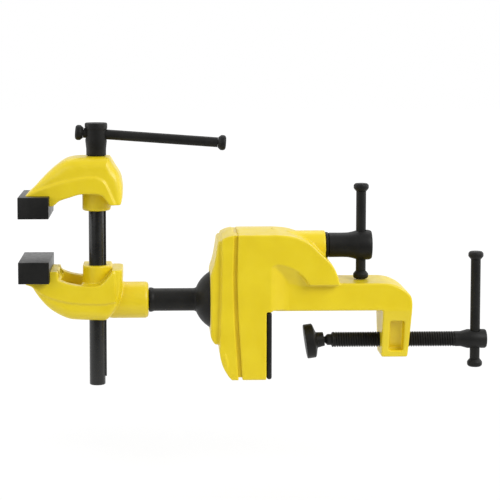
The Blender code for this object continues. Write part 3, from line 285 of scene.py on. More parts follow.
def turned(name, profile, origin, axis, closed=False, sides=72, thread=None):
    """A body of revolution about the axis.

    The profile is a list of (along, radius), and a thread is (start, end, pitch, depth).
    """
    axis = Vector(axis).normalized()
    side = axis.cross(Vector((0, 1, 0)))
    side = side.normalized() if side.length > 0.5 else Vector((1, 0, 0))
    other = axis.cross(side)
    shape = bmesh.new()
    rings = []
    for along, radius in threaded(profile, thread) if thread else profile:
        centre = Vector(origin) + axis * along
        if radius < ON_AXIS:
            rings.append([shape.verts.new(centre)])
            continue
        ring = []
        for k in range(sides):
            turn = (k + 0.5) / sides
            angle = 2 * math.pi * turn
            reach = radius - (thread_depth(along, turn, thread) if thread else 0.0)
            ring.append(shape.verts.new(centre + (side * math.cos(angle) + other * math.sin(angle)) * reach))
        rings.append(ring)
    pairs = list(zip(rings, rings[1:]))
    if closed:
        pairs.append((rings[-1], rings[0]))
    else:
        for ring in (rings[0], rings[-1]):
            if len(ring) > 1:
                shape.faces.new(ring)
    for one, two in pairs:
        for k in range(sides):
            j = (k + 1) % sides
            if len(one) == 1:
                shape.faces.new((one[0], two[k], two[j]))
            elif len(two) == 1:
                shape.faces.new((one[k], one[j], two[0]))
            else:
                shape.faces.new((one[k], one[j], two[j], two[k]))
    return new_object(name, shape)


def rod(name, start, end, radius, sides=64):
    start, end = Vector(start), Vector(end)
    return turned(name, [(0, radius), ((end - start).length, radius)], start, end - start, sides=sides)


def arc_profile(centre, radius, start, end, steps):
    points = []
    for k in range(steps + 1):
        angle = start + (end - start) * k / steps
        points.append((centre + radius * math.cos(angle), radius * math.sin(angle)))
    return points


def settle(piece):
    """Applies the modifiers of a piece."""
    bpy.context.view_layer.update()
    graph = bpy.context.evaluated_depsgraph_get()
    made = bpy.data.meshes.new_from_object(piece.evaluated_get(graph))
    old = piece.data
    piece.modifiers.clear()
    piece.data = made
    bpy.data.meshes.remove(old)
    return piece


def bevel(piece, width, segments=3, angle=60):
    made = piece.modifiers.new("round", "BEVEL")
    made.width = width
    made.segments = segments
    made.limit_method = "ANGLE"
    made.angle_limit = math.radians(angle)
    return settle(piece)


def combine(piece, others, operation):
    for other in others:
        step = piece.modifiers.new("step", "BOOLEAN")
        step.operation = operation
        step.solver = "EXACT"
        step.object = other
    settle(piece)
    for other in others:
        bpy.data.objects.remove(other, do_unlink=True)
    return piece


def join(piece, *others):
    return combine(piece, others, "UNION")


def cut(piece, *others):
    return combine(piece, others, "DIFFERENCE")


def fuse(piece, *others, voxel=0.5):
    """Runs overlapping bodies into one, by voxels."""
    shape = bmesh.new()
    for body in (piece, *others):
        shape.from_mesh(body.data)
    shape.to_mesh(piece.data)
    shape.free()
    for other in others:
        bpy.data.objects.remove(other, do_unlink=True)
    remesh = piece.modifiers.new("fuse", "REMESH")
    remesh.mode = "VOXEL"
    remesh.voxel_size = voxel
    return settle(piece)


def cast_skin(piece, voxel, passes, keep=0.35):
    """Turns sharp edges and corners of a casting into soft ones: voxels, smoothing, then fewer faces."""
    remesh = piece.modifiers.new("skin", "REMESH")
    remesh.mode = "VOXEL"
    remesh.voxel_size = voxel
    smooth = piece.modifiers.new("soft", "SMOOTH")
    smooth.factor = 0.5
    smooth.iterations = passes
    fewer = piece.modifiers.new("fewer", "DECIMATE")
    fewer.ratio = keep
    return settle(piece)


def dress(piece, body, slot, nodes, sharp=40.0, finish=None):
    """Brings a finished piece to metres, and gives it its finish, its body and the nodes it stands for."""
    piece.data.transform(Matrix.Scale(MM, 4))
    piece.data.shade_smooth()
    piece.data.set_sharp_from_angle(angle=math.radians(sharp))
    piece.data.materials.clear()
    piece.data.materials.append(finish or BY_SLOT[slot])
    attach(piece, body)
    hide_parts(*nodes)
    return piece


def span(node):
    """The box of a node of the CAD, in millimetres."""
    low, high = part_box(node)
    return Vector(low) / MM, Vector(high) / MM


# Sizes in millimetres, from the frame where the frame has them
BAR_LOW, BAR_HIGH = span("guide_bar")
UPPER_LOW, UPPER_HIGH = span("upper_jaw")
LOWER_LOW, LOWER_HIGH = span("lower_jaw")
UPPER_PAD_LOW, UPPER_PAD_HIGH = span("upper_jaw_pad")
LOWER_PAD_LOW, LOWER_PAD_HIGH = span("lower_jaw_pad")
FRAME_LOW, FRAME_HIGH = span("clamp_frame")
PAD_RIGHT = UPPER_PAD_HIGH.x

# Gaps between pieces, and how far a cutter runs past what it cuts
SLACK = 0.3
BORE_FIT = 0.25
FACE_FIT = 0.15
OVER = 6.0
WIDE = 40.0

BAR_R = BAR_HIGH.y
BAR_X = BAR_LOW.x + BAR_R
BAR_TOP = BAR_HIGH.z
SHOWN_BAR_R = BAR_R + 0.4
RIB_HALF = 1.6
SLOT_HALF = 2.6
REACH = BAR_X - UPPER_LOW.x
SPINDLE_R = 5.0
HANDLE_ROOM_R, HANDLE_ROOM_HALF = 4.9, 18.0
LOCK_Z = 77.1
LOCK_R, LOCK_BORE, LOCK_TIP = 5.0, 5.45, -39.0

# The ball's middle is the place that distances along the stem are measured from
BALL_R, BORE_R = 26.0, 26.5
BALL = Vector((span("ball_stud")[1].x - BALL_R, 0, 33.5))
STEM_R, STEM_LENGTH = 9.1, 61.9
COLLAR_R, COLLAR_END, COLLAR_SLOPE = 9.8, 59.6, 1.8
NECK_START, NECK_RISE = 1.6, 0.5
SPIGOT_R, SPIGOT_END = 8.0, 79.9
STEM_GROOVE, STEM_GROOVE_R = 70.9, 6.2

# Jaws
UPPER_H = 37.6
UPPER_Z = UPPER_HIGH.z - UPPER_H
LOWER_Z, LOWER_H = 20.6, 39.9
WEB_HALF = UPPER_HIGH.y
BAND_HALF = 21.0
CROWN, LEAST_CROWN = 9.0, 0.45
CROWN_SHARE = 0.55
BOSS_R, BOSS_TOP, BOSS_BACK = 11.3, 140.0, BAND_HALF - 2.2
UPPER_SEAT = UPPER_PAD_HIGH.z + SLACK
LOWER_SEAT = LOWER_PAD_LOW.z - SLACK
SEAT_SPARE = 2.0
LAP = 0.8
TIP_IN, TIP_RISE = 0.5, 0.6
STEM_BOSS_R = 14.6
FAR_RISE, FAR_DEPTH = 3.6, 8.0
CHANNEL_HALF, CHANNEL_FLOOR = 13.0, 42.4
LIP_X = BAR_X - REACH * 0.6
UPPER_SCREW_Z = UPPER_SEAT - 3.9
LOWER_SCREW_Z = LOWER_PAD_LOW.z + 5.1
SCREW_Y, SCREW_R, SCREW_HEAD_R = 12.0, 1.6, 3.0
SCREW_TIP = PAD_RIGHT - 8.0
PIN_R, PIN_FRONT = 1.8, -6.0
SPINDLE_PIN_X, SPINDLE_PIN_Z = BAR_X - 5.0, (BAR_TOP + UPPER_HIGH.z) / 2
BAR_PIN_X, BAR_PIN_Z = BAR_X - 6.5, (BAR_TOP + UPPER_Z) / 2
STEM_PIN_FRONT, STEM_PIN_BACK = -7.6, 20.0
HALF_NUT_Z, HALF_NUT_HIGH, HALF_NUT_BACK = 37.5, 5.5, 13.0
GRUB_R = 4.0

# Lines of the jaws, as shares of the reach from the bar and of the jaw's height
UPPER_OUTER = (
    (-0.99, 0.207), (-0.897, 0.328), (-0.794, 0.497), (-0.681, 0.667), (-0.581, 0.797), (-0.455, 0.928),
    (-0.348, 0.982), (-0.21, 1.0), (0.15, 1.0), (0.2, 0.965), (0.263, 0.81), (0.341, 0.617), (0.374, 0.383),
    (0.372, 0.15), (0.356, 0.0),
)
UPPER_RIDGE = (
    (0.284, 0.0), (0.173, 0.378), (0.117, 0.513), (0.018, 0.588), (-0.079, 0.598), (-0.221, 0.577),
    (-0.361, 0.537), (-0.502, 0.487), (-0.644, 0.423), (-0.784, 0.351),
)
UPPER_UNDER = (
    (0.196, 0.0), (0.14, 0.12), (0.06, 0.22), (-0.194, 0.235), (-0.363, 0.168), (-0.504, 0.1), (-0.55, 0.045),
    (-0.6, -0.016),
)
LOWER_OUTER = (
    (-1.0, 0.712), (-0.905, 0.66), (-0.858, 0.558), (-0.785, 0.405), (-0.672, 0.226), (-0.535, 0.09),
    (-0.394, 0.004), (-0.253, -0.02), (-0.011, -0.033), (0.125, -0.029), (0.185, 0.03), (0.257, 0.17),
    (0.328, 0.39), (0.369, 0.69), (0.37, 0.992),
)
LOWER_INNER = (
    (0.228, 0.992), (0.214, 0.923), (0.178, 0.869), (0.135, 0.796), (0.086, 0.73), (0.029, 0.685),
    (-0.126, 0.674), (-0.344, 0.712), (-0.464, 0.765), (-0.53, 0.82), (-0.538, 0.975),
)
LOWER_RIDGE = ((0.28, 0.36), (0.15, 0.325), (0.007, 0.315), (-0.371, 0.35), (-0.651, 0.45), (-0.791, 0.545))


def upper_line(shares):
    return smooth_line(scaled(shares, BAR_X, REACH, UPPER_Z, UPPER_H))


def lower_line(shares):
    return smooth_line(scaled(shares, BAR_X, REACH, LOWER_Z, LOWER_H))


def boss(name, low, high, back, steps=24):
    """A jaw's boss for the guide bar: round in front, straight at the back."""
    turns = [math.pi * k / steps for k in range(steps + 1)]
    front = [(BAR_X - BOSS_R * math.cos(turn), -BOSS_R * math.sin(turn)) for turn in turns]
    return prism(name, front + [(BAR_X + BOSS_R, back), (BAR_X - BOSS_R, back)], low, high, "XY")


def nearest(point, line):
    """The place on a line of points that is nearest to a point."""
    places = []
    for start, end in zip(line, line[1:]):
        along = Vector(end) - Vector(start)
        share = (Vector(point) - Vector(start)).dot(along) / along.length_squared
        places.append(Vector(start) + along * limit(share))
    return min(places, key=lambda place: (place - Vector(point)).length)


def crowned(name, outer, closing, steps=8):
    """A jaw's band, rounded off along its outer line, and less so where its other line comes near."""
    line = []
    for x, z in outer:
        inward = nearest((x, z), closing + outer[:1]) - Vector((x, z))
        crown = limit(CROWN_SHARE * inward.length, LEAST_CROWN, CROWN)
        if (x, z) == outer[0]:
            inward = Vector((1, 0))
        line.append((x, z, crown, inward.normalized()))
    line += [(x, z, CROWN, Vector((0, 0))) for x, z in closing]
    rings = []
    for sign, order in ((-1, range(steps + 1)), (1, range(steps, -1, -1))):
        for k in order:
            angle = math.pi / 2 * (1 - k / steps)
            ring = []
            for x, z, crown, inward in line:
                inset = inward * crown * (1 - math.cos(angle))
                ring.append((x + inset.x, sign * (BAND_HALF - crown * (1 - math.sin(angle))), z + inset.y))
            rings.append(ring)
    return loft(name, rings)


def bar_room(low, high):
    """Cutters for the guide bar and its rib."""
    bore = rod("bore", (BAR_X, 0, low), (BAR_X, 0, high), SHOWN_BAR_R + BORE_FIT)
    rib = box("key", (BAR_X, -RIB_HALF - SLACK, low), (BAR_HIGH.x + SLACK, RIB_HALF + SLACK, high))
    return bore, rib


def seat_room(low, high):
    """The cutter for a jaw pad, between two heights."""
    return box("seat", (UPPER_PAD_LOW.x - OVER, -WIDE, low), (PAD_RIGHT + FACE_FIT, WIDE, high))


def screw_room(z):
    """Cutters for the two screws that hold a jaw pad."""
    cutters = []
    for y in (-SCREW_Y, SCREW_Y):
        shank = ((LIP_X + SLACK, y, z), (SCREW_TIP - SLACK, y, z))
        head = ((LIP_X - SLACK, y, z), (LIP_X + OVER, y, z))
        cutters.append(rod("room", *shank, SCREW_R + SLACK, sides=24))
        cutters.append(rod("room", *head, SCREW_HEAD_R + SLACK, sides=32))
    return cutters


def pin_room(x, z, front, back):
    return rod("pin_room", (x, front, z), (x, back, z), PIN_R, sides=32)


def make_upper_jaw():
    """The upper jaw: its crowned band, the web inside it, and the boss of the guide bar."""
    outer = upper_line(UPPER_OUTER)
    outer[0] = (outer[0][0], UPPER_SEAT)
    ridge = upper_line(UPPER_RIDGE)
    under = upper_line(UPPER_UNDER)
    sunk = [(BAR_X + REACH / 4, UPPER_Z)] + [(x, z - UPPER_H / 10) for x, z in ridge[6:-1]]
    jaw = crowned("upper_jaw_casting", outer, sunk)
    seat_z = UPPER_SEAT - SEAT_SPARE
    tip_x = outer[0][0] + TIP_IN
    nose = [(PAD_RIGHT - SEAT_SPARE, under[-1][1]), (PAD_RIGHT - SEAT_SPARE, seat_z)]
    nose += [(tip_x, seat_z), (tip_x, UPPER_SEAT + TIP_RISE)]
    web = prism("web", nose + ridge[::-1] + under, -WEB_HALF, WEB_HALF)
    bevel(web, width=0.9, segments=2)
    bar_boss = bevel(boss("boss", UPPER_LOW.z, BOSS_TOP, BOSS_BACK), width=1.3)
    fuse(jaw, web, bar_boss, voxel=0.6)
    cast_skin(jaw, voxel=0.55, passes=4)
    bore, key = bar_room(UPPER_LOW.z - OVER, BAR_TOP + SLACK)
    neck = ((BAR_X, 0, BAR_TOP - OVER), (BAR_X, 0, UPPER_HIGH.z + OVER))
    cut(
        jaw,
        bore,
        seat_room(UPPER_PAD_LOW.z - OVER, UPPER_PAD_HIGH.z + FACE_FIT),
        rod("neck", *neck, SPINDLE_R + SLACK),
        key,
        pin_room(SPINDLE_PIN_X, SPINDLE_PIN_Z, PIN_FRONT - SLACK, WEB_HALF + OVER),
        pin_room(BAR_PIN_X, BAR_PIN_Z, PIN_FRONT - SLACK, WEB_HALF + OVER),
        *screw_room(UPPER_SCREW_Z),
    )
    dress(jaw, "upper_head", "cast_yellow", ["upper_jaw"], sharp=50)


def lower_web(outer, inner, ridge):
    """The web inside the lower jaw's band, and its far wall, which stands higher behind the channel."""
    seat_z = LOWER_SEAT + SEAT_SPARE
    nose = [(PAD_RIGHT - SEAT_SPARE, inner[-1][1]), (PAD_RIGHT - SEAT_SPARE, seat_z)]
    nose += [(outer[0][0], seat_z), (outer[0][0], outer[0][1] + LAP), (outer[4][0], outer[4][1] + LAP)]
    corner = 2.2
    inside = [(inner[0][0] + corner, inner[0][1] - corner)] + inner[1:]
    web = prism("web", inside + nose + ridge[::-1], -WEB_HALF, WEB_HALF)
    bevel(web, width=1.6)
    rim = inner[5:-2]
    top = [(x, z + FAR_RISE) for x, z in rim]
    foot = [(x, z - FAR_DEPTH) for x, z in rim[::-1]]
    far_wall = prism("far_wall", top + foot, CHANNEL_HALF, WEB_HALF)
    bevel(far_wall, width=0.9, segments=2)
    return web, far_wall


def stem_boss():
    """The boss that takes the spigot of the ball's stem."""
    end = BALL.x - STEM_LENGTH - SLACK
    profile = [(BAR_X + 1, STEM_BOSS_R - 2.5), (BAR_X + BOSS_R + 0.6, STEM_BOSS_R)]
    profile += [(end - 2.4, STEM_BOSS_R), (end - 0.7, STEM_BOSS_R - 0.7), (end, STEM_BOSS_R - 2.4)]
    return turned("stem_boss", profile, (0, 0, BALL.z), (1, 0, 0))


def make_lower_jaw():
    """The lower jaw: its crowned band, its web, its two bosses, and the channel between its walls."""
    outer = lower_line(LOWER_OUTER)
    inner = lower_line(LOWER_INNER)
    ridge = lower_line(LOWER_RIDGE)
    inside_x = BAR_X + REACH / 5
    lifted = [(inside_x, BALL.z)] + [(x, z + LOWER_H / 10) for x, z in ridge[4:]]
    wall_top = [inner[0], (inside_x, LOWER_HIGH.z - BOSS_R)]
    jaw = crowned("lower_jaw_casting", outer, wall_top + lifted + [(outer[4][0], LOWER_SEAT - LAP)])
    web, far_wall = lower_web(outer, inner, ridge)
    stem = stem_boss()
    wall_end = (BAR_X + REACH / 4, BAND_HALF - CROWN / 2, inner[0][1] - LAP / 2)
    wall = box("wall", (BAR_X, 0, BALL.z), wall_end)
    fuse(jaw, web, far_wall, boss("boss", BALL.z, LOWER_HIGH.z, WEB_HALF - LAP), wall, stem, voxel=0.6)
    channel_end = (BAR_X - BOSS_R - LAP, CHANNEL_HALF, LOWER_HIGH.z)
    cut(jaw, box("channel", (BAR_X - REACH / 2, -CHANNEL_HALF, CHANNEL_FLOOR), channel_end))
    cast_skin(jaw, voxel=0.55, passes=4)
    bore, key = bar_room(LOWER_LOW.z - OVER, LOWER_HIGH.z + OVER)
    spigot = ((BALL.x - SPIGOT_END - SLACK, 0, BALL.z), (BALL.x - STEM_LENGTH + OVER, 0, BALL.z))
    nut_room = HALF_NUT_HIGH + SLACK
    nut_start = (BAR_X - SLOT_HALF, 0, HALF_NUT_Z - nut_room)
    nut_end = (BAR_X + SLOT_HALF, HALF_NUT_BACK + SLACK, HALF_NUT_Z + nut_room)
    grub = ((BAR_X, HALF_NUT_BACK, HALF_NUT_Z), (BAR_X, WEB_HALF + OVER, HALF_NUT_Z))
    cut(
        jaw,
        bore,
        rod("stem_bore", *spigot, SPIGOT_R + SLACK),
        seat_room(LOWER_PAD_LOW.z - FACE_FIT, LOWER_PAD_HIGH.z + OVER),
        key,
        box("nut_slot", nut_start, nut_end),
        rod("grub_hole", *grub, GRUB_R + SLACK, sides=48),
        pin_room(BALL.x - STEM_GROOVE, BALL.z - SPIGOT_R, STEM_PIN_FRONT, STEM_PIN_BACK),
        *screw_room(LOWER_SCREW_Z),
    )
    dress(jaw, "lower_head", "cast_yellow", ["lower_jaw"], sharp=50)


# Clamp frame
HALF = FRAME_HIGH.y
TOP, BOTTOM = FRAME_HIGH.z, FRAME_LOW.z - 0.8
TOP_RISE = 1.8
EDGE = 3.4
BEAM_ROOT, BEAM_TOP, BEAM_LOW, BEAM_HALF = -15.0, 49.2, 27.2, 24.0
GUSSET = ((BEAM_ROOT, 73.5), (3.0, 73.5), (42.0, BEAM_TOP))
LEG_IN, LEG_OUT, LEG_LOW, LEG_LEAN = 88.9, FRAME_HIGH.x, -12.1, 2.2
LEG_FOOT_HALF = 13.0
LEG_TAPER = (BEAM_HALF - LEG_FOOT_HALF) / (BEAM_LOW - LEG_LOW)
LEG_BORE_R = 6.3
POCKET_RIM, POCKET_LOW, POCKET_HIGH, POCKET_DEPTH = 6.0, -6.7, 18.3, 7.0
LOCK_BOSS_START, LOCK_BOSS_END, LOCK_BOSS_R = 14.0, 44.3, 11.8
CHEEK_X, CHEEK_Z, CHEEK_R, CHEEK_END = 3.0, 35.0, 29.8, 0.93
SHOULDER_X, SHOULDER_LENGTH, SHOULDER_LOW = 5.0, 48.0, BEAM_TOP - 0.8
SPLIT_X, SPLIT_LEAN = -26.2, 3.4

# Where frame and cover end beside the split, and where their rough bodies end before they are trimmed to it
FRAME_SIDE, COVER_SIDE = 0.6, 3.5
ROUGH_FRAME, ROUGH_COVER = 4.0, -2.0
TRIM_REACH = 20.0

ROCKER = Vector((-25.8, 0, -17.0))
ROCKER_HALF, ROCKER_R = 22.3, 3.5
MARK_X, MARK_FRONT, MARK_BACK, MARK_R = 1.8, -5.0, 7.0, 1.2
RECESS_RIGHT = 4.0

# The beam's outer corner is (in from the leg, down from the top), a run-out (across, rise)
CORNER = (
    (22, 0), (17.5, 0.6), (13.2, 1.8), (9.2, 3.7), (5.6, 6.0), (3.0, 8.3), (1.1, 10.9), (0.3, 14), (0, 18),
)
RUN_OUT = ((0, 7.3), (1.5, 7.2), (4, 6.2), (8, 3.9), (12, 1.9), (17, 0.6), (22, -0.1))
RUN_OUT_SHARE = 0.99
LEDGE_ROOT, LEDGE_START, LEDGE_LOW = 20.0, -2.0, BEAM_LOW + 1.2

# The split is (share of the height, share of its lean), the shoulder (share of its length, of its height)
SPLIT = ((1.0, 0.0), (0.84, -0.18), (0.69, -0.24), (0.52, -0.1), (0.35, 0.18), (0.07, 0.82), (0.0, 1.0))
SHOULDER = (
    (0.0, 1.0), (0.19, 0.98), (0.35, 0.93), (0.52, 0.83), (0.70, 0.63), (0.88, 0.42), (0.975, 0.2),
    (1.02, 0.0),
)

# Room for the ball's right half and, behind it, for the seat that it turns on, as (x, radius)
SEAT_ROOM = ((BALL.x, BORE_R), (-19.3, BORE_R), (-19.3, 22.3), (-10.7, 22.3), (-10.7, 10.4), (-8.8, 10.4))


def split_line(offset):
    """The split between cover and frame from top to bottom, moved towards the cover by the offset."""
    line = [(SPLIT_X + SPLIT_LEAN * lean, BOTTOM + (TOP - BOTTOM) * up) for up, lean in SPLIT]
    return [(x - offset, z) for x, z in smooth_line(line)]


def arc(x, z, radius, start, end, steps=16):
    """Points on a circle in the XZ plane, between two angles."""
    angles = [start + (end - start) * k / steps for k in range(steps + 1)]
    return [(x + radius * math.cos(angle), z + radius * math.sin(angle)) for angle in angles]


def trim(piece, line, side):
    """Cuts a casting off along the split, so that its edge there stays sharper than the others."""
    high, low = line[0][0], line[-1][0]
    far = high + side * TRIM_REACH
    above = [(far, TOP + OVER), (high, TOP + OVER)]
    below = [(low, BOTTOM - OVER), (far, BOTTOM - OVER)]
    return cut(piece, prism("trim", above + line + below, -WIDE, WIDE))


def crown_top(piece):
    """Raises the middle of the housing's top a little, as on a casting that leaves its mould sideways."""
    fade_x, fade_length, fade_z = 14, 10, 60
    for vertex in piece.data.vertices:
        x, y, z = vertex.co
        near = limit((fade_x - x) / fade_length) * limit((z - fade_z) / (TOP - fade_z))
        vertex.co.z += TOP_RISE * (1 - abs(y) / HALF) * near**2
    return piece


def rocker_room():
    along = Vector((0, ROCKER_HALF, 0))
    return rod("rocker", ROCKER - along, ROCKER + along, ROCKER_R, sides=48)


def lock_room(start, end):
    return rod("lock_bore", (start, 0, LOCK_Z), (end, 0, LOCK_Z), LOCK_BORE, sides=48)


def leg_half(z):
    return LEG_FOOT_HALF + LEG_TAPER * (z - LEG_LOW)


def wedge(name, left, right, low, high, sink):
    """Cutters for both sides of the leg, that follow its taper at a depth."""
    made = []
    for sign in (-1, 1):
        near, far = sign * (leg_half(low) - sink), sign * (leg_half(high) - sink)
        section = [(near, low), (far, high), (sign * WIDE, high), (sign * WIDE, low)]
        made.append(prism(name, section, left, right, "YZ"))
    return made


def make_beam():
    """The beam with its leg, which gets narrower downwards and has a pocket in each side."""
    corner = smooth_line([(LEG_OUT - across, BEAM_TOP - down) for across, down in CORNER], 3)
    foot = [(LEG_OUT - LEG_LEAN, LEG_LOW), (LEG_IN, LEG_LOW)]
    under = [(LEG_IN, BEAM_LOW), (BEAM_ROOT, BEAM_LOW)]
    beam = prism("beam", list(GUSSET) + corner + foot + under, -BEAM_HALF, BEAM_HALF)
    bevel(beam, width=1.1)
    cut(beam, *wedge("taper", LEG_IN - OVER, LEG_OUT + OVER, LEG_LOW - OVER, BEAM_LOW + OVER, 0))
    pocket = (LEG_IN + POCKET_RIM, LEG_OUT - POCKET_RIM, POCKET_LOW, POCKET_HIGH)
    return cut(beam, *wedge("pocket", *pocket, POCKET_DEPTH))


def run_out(fade=1.0):
    """Steps of a slope: how far out each is, and how far it stands off the middle plane."""
    foot = BEAM_HALF - 1
    return [(across, foot + rise * RUN_OUT_SHARE * fade) for across, rise in RUN_OUT]


def ledge(sections, sign):
    """A slope on one side of the casting. Each section is a ring of (x, distance to the side, z)."""
    return loft("ledge", [[(x, sign * y, z) for x, y, z in section] for section in sections])


def low_ledge(sign):
    """The slope from the housing's side out into the beam's side."""
    high = CHEEK_Z + CHEEK_R - 1
    sections = []
    for across, y in run_out():
        x = LEDGE_START + across
        sections.append([(x, LEDGE_ROOT, LEDGE_LOW), (x, y, LEDGE_LOW), (x, y, high), (x, LEDGE_ROOT, high)])
    return ledge(sections, sign)


def round_ledge(sign, steps=16, start=20, sweep=74):
    """The slope round the cheek, which starts from nothing and rises over half of its sweep."""
    inside, outside = CHEEK_R - 14, CHEEK_R + 3
    sections = []
    for k in range(steps + 1):
        angle = math.radians(start + sweep * k / steps)
        section = [(outside - across, y) for across, y in run_out(limit(2 * k / steps))[:6]]
        section += [(inside, LEDGE_ROOT), (outside, LEDGE_ROOT)]
        way_x, way_z = math.cos(angle), math.sin(angle)
        sections.append([(CHEEK_X + r * way_x, y, CHEEK_Z + r * way_z) for r, y in section])
    return ledge(sections, sign)


def make_clamp_frame():
    """The clamp frame: the rear half of the housing, its shoulder and cheek, the lock's boss, the beam."""
    split = split_line(ROUGH_FRAME)
    shoulder = smooth_line(scaled(SHOULDER, SHOULDER_X, SHOULDER_LENGTH, SHOULDER_LOW, TOP - SHOULDER_LOW))
    cheek_start = math.asin((SHOULDER_LOW - CHEEK_Z) / CHEEK_R)
    cheek = arc(CHEEK_X, CHEEK_Z, CHEEK_R, cheek_start, math.pi / 2)
    face = [(0, CHEEK_Z + CHEEK_R * CHEEK_END), (0, BOTTOM)]
    outline = [split[0]] + shoulder + cheek + face + split[::-1][:-1]
    clamp = bevel(prism("clamp_frame_casting", outline, -HALF, HALF), EDGE, segments=5)
    trim(clamp, split_line(FRAME_SIDE), -1)
    beam = make_beam()
    ledges = [make(sign) for sign in (-1, 1) for make in (low_ledge, round_ledge)]
    lock_ends = ((LOCK_BOSS_START, 0, LOCK_Z), (LOCK_BOSS_END, 0, LOCK_Z))
    fuse(clamp, beam, rod("lock_boss", *lock_ends, LOCK_BOSS_R, sides=96), *ledges, voxel=0.7)
    pad_low, pad_high = span("bench_pad")
    recess_start = (pad_low.x - SLACK, -WIDE, BOTTOM - OVER)
    cut(clamp, box("pad_recess", recess_start, (RECESS_RIGHT, WIDE, pad_high.z + SLACK)))
    cast_skin(crown_top(clamp), voxel=0.6, passes=4)
    mark_z = TOP + TOP_RISE + 0.4
    cut(
        clamp,
        turned("cavity", SEAT_ROOM, (0, 0, BALL.z), (1, 0, 0)),
        lock_room(SPLIT_X - OVER, LOCK_BOSS_END + OVER),
        rod("gate_mark", (MARK_X, MARK_FRONT, mark_z), (MARK_X, MARK_BACK, mark_z), MARK_R, sides=24),
        rod("leg_bore", (LEG_IN - OVER, 0, 0), (LEG_OUT + OVER, 0, 0), LEG_BORE_R),
        rocker_room(),
    )
    dress(clamp, "frame", "cast_yellow", ["clamp_frame"], sharp=50)


# Front cover, its lines as (share of the height, share of the depth)
COVER_FRONT = (
    (1.0, 0.1), (0.993, 0.5), (0.977, 0.95), (0.95, 1.15), (0.75, 1.14), (0.32, 1.28), (0.2, 1.33),
    (0.13, 1.19), (0.08, 0.97), (0.03, 0.62), (0.0, 0.3),
)
COVER_PLATE = (
    (0.965, 0.40), (0.965, 0.69), (0.95, 0.75), (0.88, 0.79), (0.79, 0.85), (0.72, 0.915), (0.675, 0.975),
    (0.64, 1.01), (0.075, 1.01), (0.035, 0.95), (0.01, 0.88), (0.0, 0.83), (0.0, 0.30),
)
COVER_X, COVER_DEPTH = -28.8, 9.5
PLATE_LOW, PLATE_HEIGHT, PLATE_DEPTH, PLATE_HALF = 1.2, 85.6, 22.0, 27.2
LUG = ((-8.5, 0), (-7, 0.8), (-4, 1.4), (0, 1.7), (4, 1.4), (7, 0.8), (8.5, 0))
LUG_X, LUG_Y, LUG_Z, LUG_WAY = -36.6, HALF - 0.7, -10.5, (0.2, 0, -1)
TONGUE_HALF, TONGUE_ROOT, TONGUE_GAP = HALF - 2.6, 6.0, 0.1
TONGUE_LOW, TONGUE_HIGH = BOTTOM + 2.0, TOP - 0.4
BORE_RIGHT, OPENING_R = 13.1, 23.1
LOCK_NUT_X, LOCK_NUT_HALF = -36.8, 7.5


def tongue():
    """The cover's tongue, which fills the split up to a small gap beside the frame."""
    face, root = split_line(FRAME_SIDE + TONGUE_GAP), split_line(TONGUE_ROOT)
    outline = [(x, limit(z, TONGUE_LOW, TONGUE_HIGH)) for x, z in face + root[::-1]]
    return prism("tongue", outline, -TONGUE_HALF, TONGUE_HALF)


def ball_room():
    """The cutter for the ball, and for the round opening that its stem comes out of."""
    opening = math.sqrt(BORE_R**2 - OPENING_R**2)
    last = math.pi - math.atan2(OPENING_R, opening)
    profile = [(BORE_RIGHT, BORE_R)] + arc_profile(0, BORE_R, math.pi / 2, last, steps=16)
    profile.append((-opening - OVER, OPENING_R))
    return turned("cavity", profile, BALL, (1, 0, 0), sides=96)


def make_front_cover():
    """The front cover in two steps, with a small rib low on each side and the tongue in the split."""
    back = split_line(ROUGH_COVER)
    height = TOP - BOTTOM
    front = smooth_line([(COVER_X - COVER_DEPTH * depth, BOTTOM + height * up) for up, depth in COVER_FRONT])
    cover = bevel(prism("front_cover_casting", back + front[::-1], -HALF, HALF), EDGE, segments=5)
    trim(cover, split_line(COVER_SIDE), 1)
    outline = [(SPLIT_X - PLATE_DEPTH * depth, PLATE_LOW + PLATE_HEIGHT * up) for up, depth in COVER_PLATE]
    plate = prism("plate", outline, -PLATE_HALF, PLATE_HALF)
    bevel(plate, width=1.9, segments=4, angle=80)
    lugs = [turned("lug", LUG, (LUG_X, y, LUG_Z), LUG_WAY, sides=32) for y in (-LUG_Y, LUG_Y)]
    fuse(cover, plate, *lugs)
    cast_skin(crown_top(cover), voxel=0.5, passes=3)
    join(cover, tongue())
    nut_room = LOCK_NUT_HALF + SLACK
    nut_start = (LOCK_NUT_X - SLACK, -nut_room, LOCK_Z - nut_room)
    cut(
        cover,
        ball_room(),
        box("nut_pocket", nut_start, (SPLIT_X, nut_room, LOCK_Z + nut_room)),
        lock_room(LOCK_TIP - SLACK, SPLIT_X + OVER),
        rocker_room(),
    )
    dress(cover, "cover", "cast_yellow", ["front_cover"], sharp=50)


